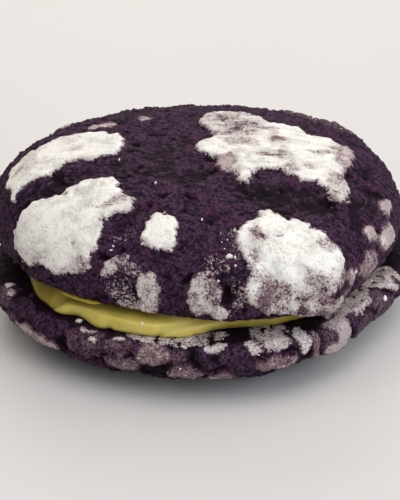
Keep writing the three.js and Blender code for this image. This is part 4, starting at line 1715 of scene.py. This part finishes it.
@dataclass
class LooseCrumbs:
    """Small lumps that lie on the crust: some at places that show, and many strewn by a rule."""

    piece_name: str
    slot: str
    seed: int
    count: int
    smallest: float
    largest: float
    sugar_span: Span
    size_skew: int = 2
    lowest: float = 1.5
    unevenness: float = 0.95

    def build(self, surfaces: list[Surface], shown: list[Spot], material: bpy.types.Material) -> None:
        """Builds all the crumbs as one mesh and dresses it.

        Args:
            surfaces: The skins to strew crumbs on.
            shown: Where single crumbs show.
            material: The crumbs' finish.
        """
        draw = np.random.default_rng(self.seed)
        spots = list(shown)
        least, most = self.sugar_span
        for surface in surfaces:
            wanted = (surface.sugar > least) & (surface.sugar < most) & (surface.points[:, 2] > self.lowest)
            chosen = draw.choice(np.flatnonzero(wanted), self.count // len(surfaces), replace=False)
            growth = draw.random(len(chosen)) ** self.size_skew
            sizes = self.smallest * (self.largest / self.smallest) ** growth
            spots.extend(zip(surface.points[chosen], sizes))
        ball = bmesh.new()
        bmesh.ops.create_icosphere(ball, subdivisions=2, radius=1.0)
        ball_points = np.array([corner.co for corner in ball.verts])
        ball_faces = np.array([[corner.index for corner in face.verts] for face in ball.faces])
        ball.free()
        points, faces = [], []
        for index, (middle, size) in enumerate(spots):
            stretch = 1.0 + self.unevenness * (draw.random(3) - 0.5)
            knobbly = 1.0 + self.unevenness * (draw.random((len(ball_points), 1)) - 0.5)
            points.append(middle + ball_points * knobbly * stretch * size)
            faces.append(ball_faces + index * len(ball_points))
        piece = make_piece(self.piece_name, np.concatenate(points), np.concatenate(faces), material)
        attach(piece, "root")


@dataclass(frozen=True)
class Softbox:
    """A square soft light that points at the sandwich, with its sizes in metres and its power in watts."""

    name: str
    place: Place
    side: float
    power: float
    aim: Place = (0.0, 0.0, 0.01)
    colour: Colour = (1.0, 0.93, 0.84)

    def hang(self) -> None:
        """Adds the light to the scene."""
        light = bpy.data.lights.new(self.name, "AREA")
        light.size = self.side
        light.energy = self.power
        light.color = self.colour
        lamp = bpy.data.objects.new(self.name, light)
        lamp.location = self.place
        lamp.rotation_euler = (Vector(self.aim) - Vector(self.place)).to_track_quat("-Z", "Y").to_euler()
        bpy.context.scene.collection.objects.link(lamp)


@dataclass
class Studio:
    """The table, the soft light and the camera."""

    aim: Place = (-0.68, 1.5, 9.51)
    distance: float = 320.0
    elevation: float = 26.0
    lens: float = 128.17
    near_clip: float = 10.0
    floor_size: float = 4000.0
    world_colour: Colour = (0.90, 0.94, 1.0)
    bright_side: Place = (0.38, -0.28, 0.85)
    dim_from: float = -0.1
    dim_strength: float = 0.17
    bright_strength: float = 0.84
    finish: FloorFinish = FloorFinish()
    lamps: tuple[Softbox, ...] = (
        Softbox("key_softbox", (0.40, 0.20, 0.55), 0.55, 1.2),
        Softbox("front_fill", (0.50, -0.40, 0.36), 0.5, 2.0, colour=(0.76, 0.87, 1.0)),
        Softbox("top_glow", (-0.20, -0.15, 0.85), 0.9, 2.7),
        Softbox("back_glow", (-0.05, 0.60, 0.35), 0.4, 1.2, aim=(-0.02, 0.40, 0.0)),
    )

    def build(self) -> None:
        """Builds the floor, the lights and the camera."""
        self._floor()
        self._world()
        for lamp in self.lamps:
            lamp.hang()
        self._camera()

    def _floor(self) -> None:
        """Lays the floor."""
        half = self.floor_size / 2.0
        corners = np.array([(-half, -half, 0.0), (half, -half, 0.0), (half, half, 0.0), (-half, half, 0.0)])
        floor = make_piece("floor", corners, np.array([(0, 1, 2), (0, 2, 3)]), self.finish.material())

    def _world(self) -> None:
        """Fills the room with light that grows toward its bright side."""
        world = bpy.data.worlds.new("room")
        world.use_nodes = True
        nodes, links = world.node_tree.nodes, world.node_tree.links
        toward = nodes.new("ShaderNodeVectorMath")
        toward.operation = "DOT_PRODUCT"
        toward.inputs[1].default_value = Vector(self.bright_side).normalized()
        links.new(nodes.new("ShaderNodeTexCoord").outputs["Generated"], toward.inputs[0])
        spread = nodes.new("ShaderNodeMapRange")
        spread.inputs["From Min"].default_value = self.dim_from
        spread.inputs["To Min"].default_value = self.dim_strength
        spread.inputs["To Max"].default_value = self.bright_strength
        links.new(toward.outputs["Value"], spread.inputs["Value"])
        background = nodes["Background"]
        background.inputs["Color"].default_value = (*self.world_colour, 1.0)
        links.new(spread.outputs["Result"], background.inputs["Strength"])
        bpy.context.scene.world = world
        bpy.context.scene.view_settings.view_transform = "Standard"

    def _camera(self) -> None:
        """Sets the camera at the photograph's angle."""
        lift = math.radians(self.elevation)
        aim = Vector(self.aim)
        place = aim + self.distance * Vector((0.0, -math.cos(lift), math.sin(lift)))
        lens = bpy.data.cameras.new("camera")
        lens.lens = self.lens
        lens.clip_start = self.near_clip * METRES
        camera = bpy.data.objects.new("camera", lens)
        camera.location = place * METRES
        camera.rotation_euler = (aim - place).to_track_quat("-Z", "Y").to_euler()
        bpy.context.scene.collection.objects.link(camera)
        bpy.context.scene.camera = camera


CRUMBS_ON_CRUST: tuple[CrumbPlace, ...] = (
    (-8.2, -14.6, 0.34),
    (-0.2, -25.2, 0.34),
    (-15.6, -29.8, 0.30),
    (-15.9, -30.5, 0.20),
    (-13.8, -4.8, 0.26),
    (4.5, -32.6, 0.36),
    (5.1, -26.9, 0.24),
    (2.7, -37.0, 0.38),
    (2.9, -28.4, 0.12),
    (4.0, -29.4, 0.15),
    (3.1, -30.1, 0.10),
    (5.3, -32.6, 0.24),
    (5.6, -33.9, 0.15),
    (3.6, -31.4, 0.11),
)
CRUMBS_ON_CREAM: tuple[CrumbPlace, ...] = ((-8.0, -33.6, 0.26),)
CRUMBS_ON_SIDE: tuple[CrumbPlace, ...] = ((36.6, 18.6, 0.44),)


def main() -> None:
    """Builds every piece in order and reports it."""
    logging.basicConfig(level=logging.INFO, format="%(name)s: %(message)s")
    Studio().build()
    LOG.info("studio ready")
    crust = CrustFinish().material()
    upper = UpperCookie()
    upper_surface = upper.build(crust)
    LOG.info("%s: %d triangles", upper.piece_name, len(upper_surface.faces))
    lower = LowerCookie()
    lower_surface = lower.build(crust)
    LOG.info("%s: %d triangles", lower.piece_name, len(lower_surface.faces))
    cream = CreamFilling()
    cream_surface = cream.build(upper, CreamFinish().material())
    LOG.info("%s: %d triangles", cream.piece_name, len(cream_surface.faces))
    shown = upper_surface.spots(CRUMBS_ON_CRUST) + cream_surface.spots(CRUMBS_ON_CREAM)
    shown += lower_surface.spots(CRUMBS_ON_SIDE)
    sugar_crumbs = LooseCrumbs(
        "sugar_crumbs", "purple_dough", seed=7, count=520, smallest=0.04, largest=0.14, sugar_span=(0.07, 0.5)
    )
    sugar_finish = CrumbFinish("sugar_crumb", light=(0.88, 0.86, 0.82), dark=(0.74, 0.70, 0.68))
    sugar_crumbs.build([upper_surface, lower_surface], shown, sugar_finish.material())
    LOG.info("%s strewn", sugar_crumbs.piece_name)
    dough_crumbs = LooseCrumbs(
        "dough_crumbs", "purple_dough", seed=13, count=500, smallest=0.12, largest=0.34, sugar_span=(-1, 0.12)
    )
    dough_finish = CrumbFinish("dough_crumb", light=(0.075, 0.034, 0.076), dark=(0.03, 0.014, 0.03))
    dough_crumbs.build([upper_surface, lower_surface], [], dough_finish.material())
    LOG.info("%s strewn", dough_crumbs.piece_name)


if __name__ == "__main__":
    main()
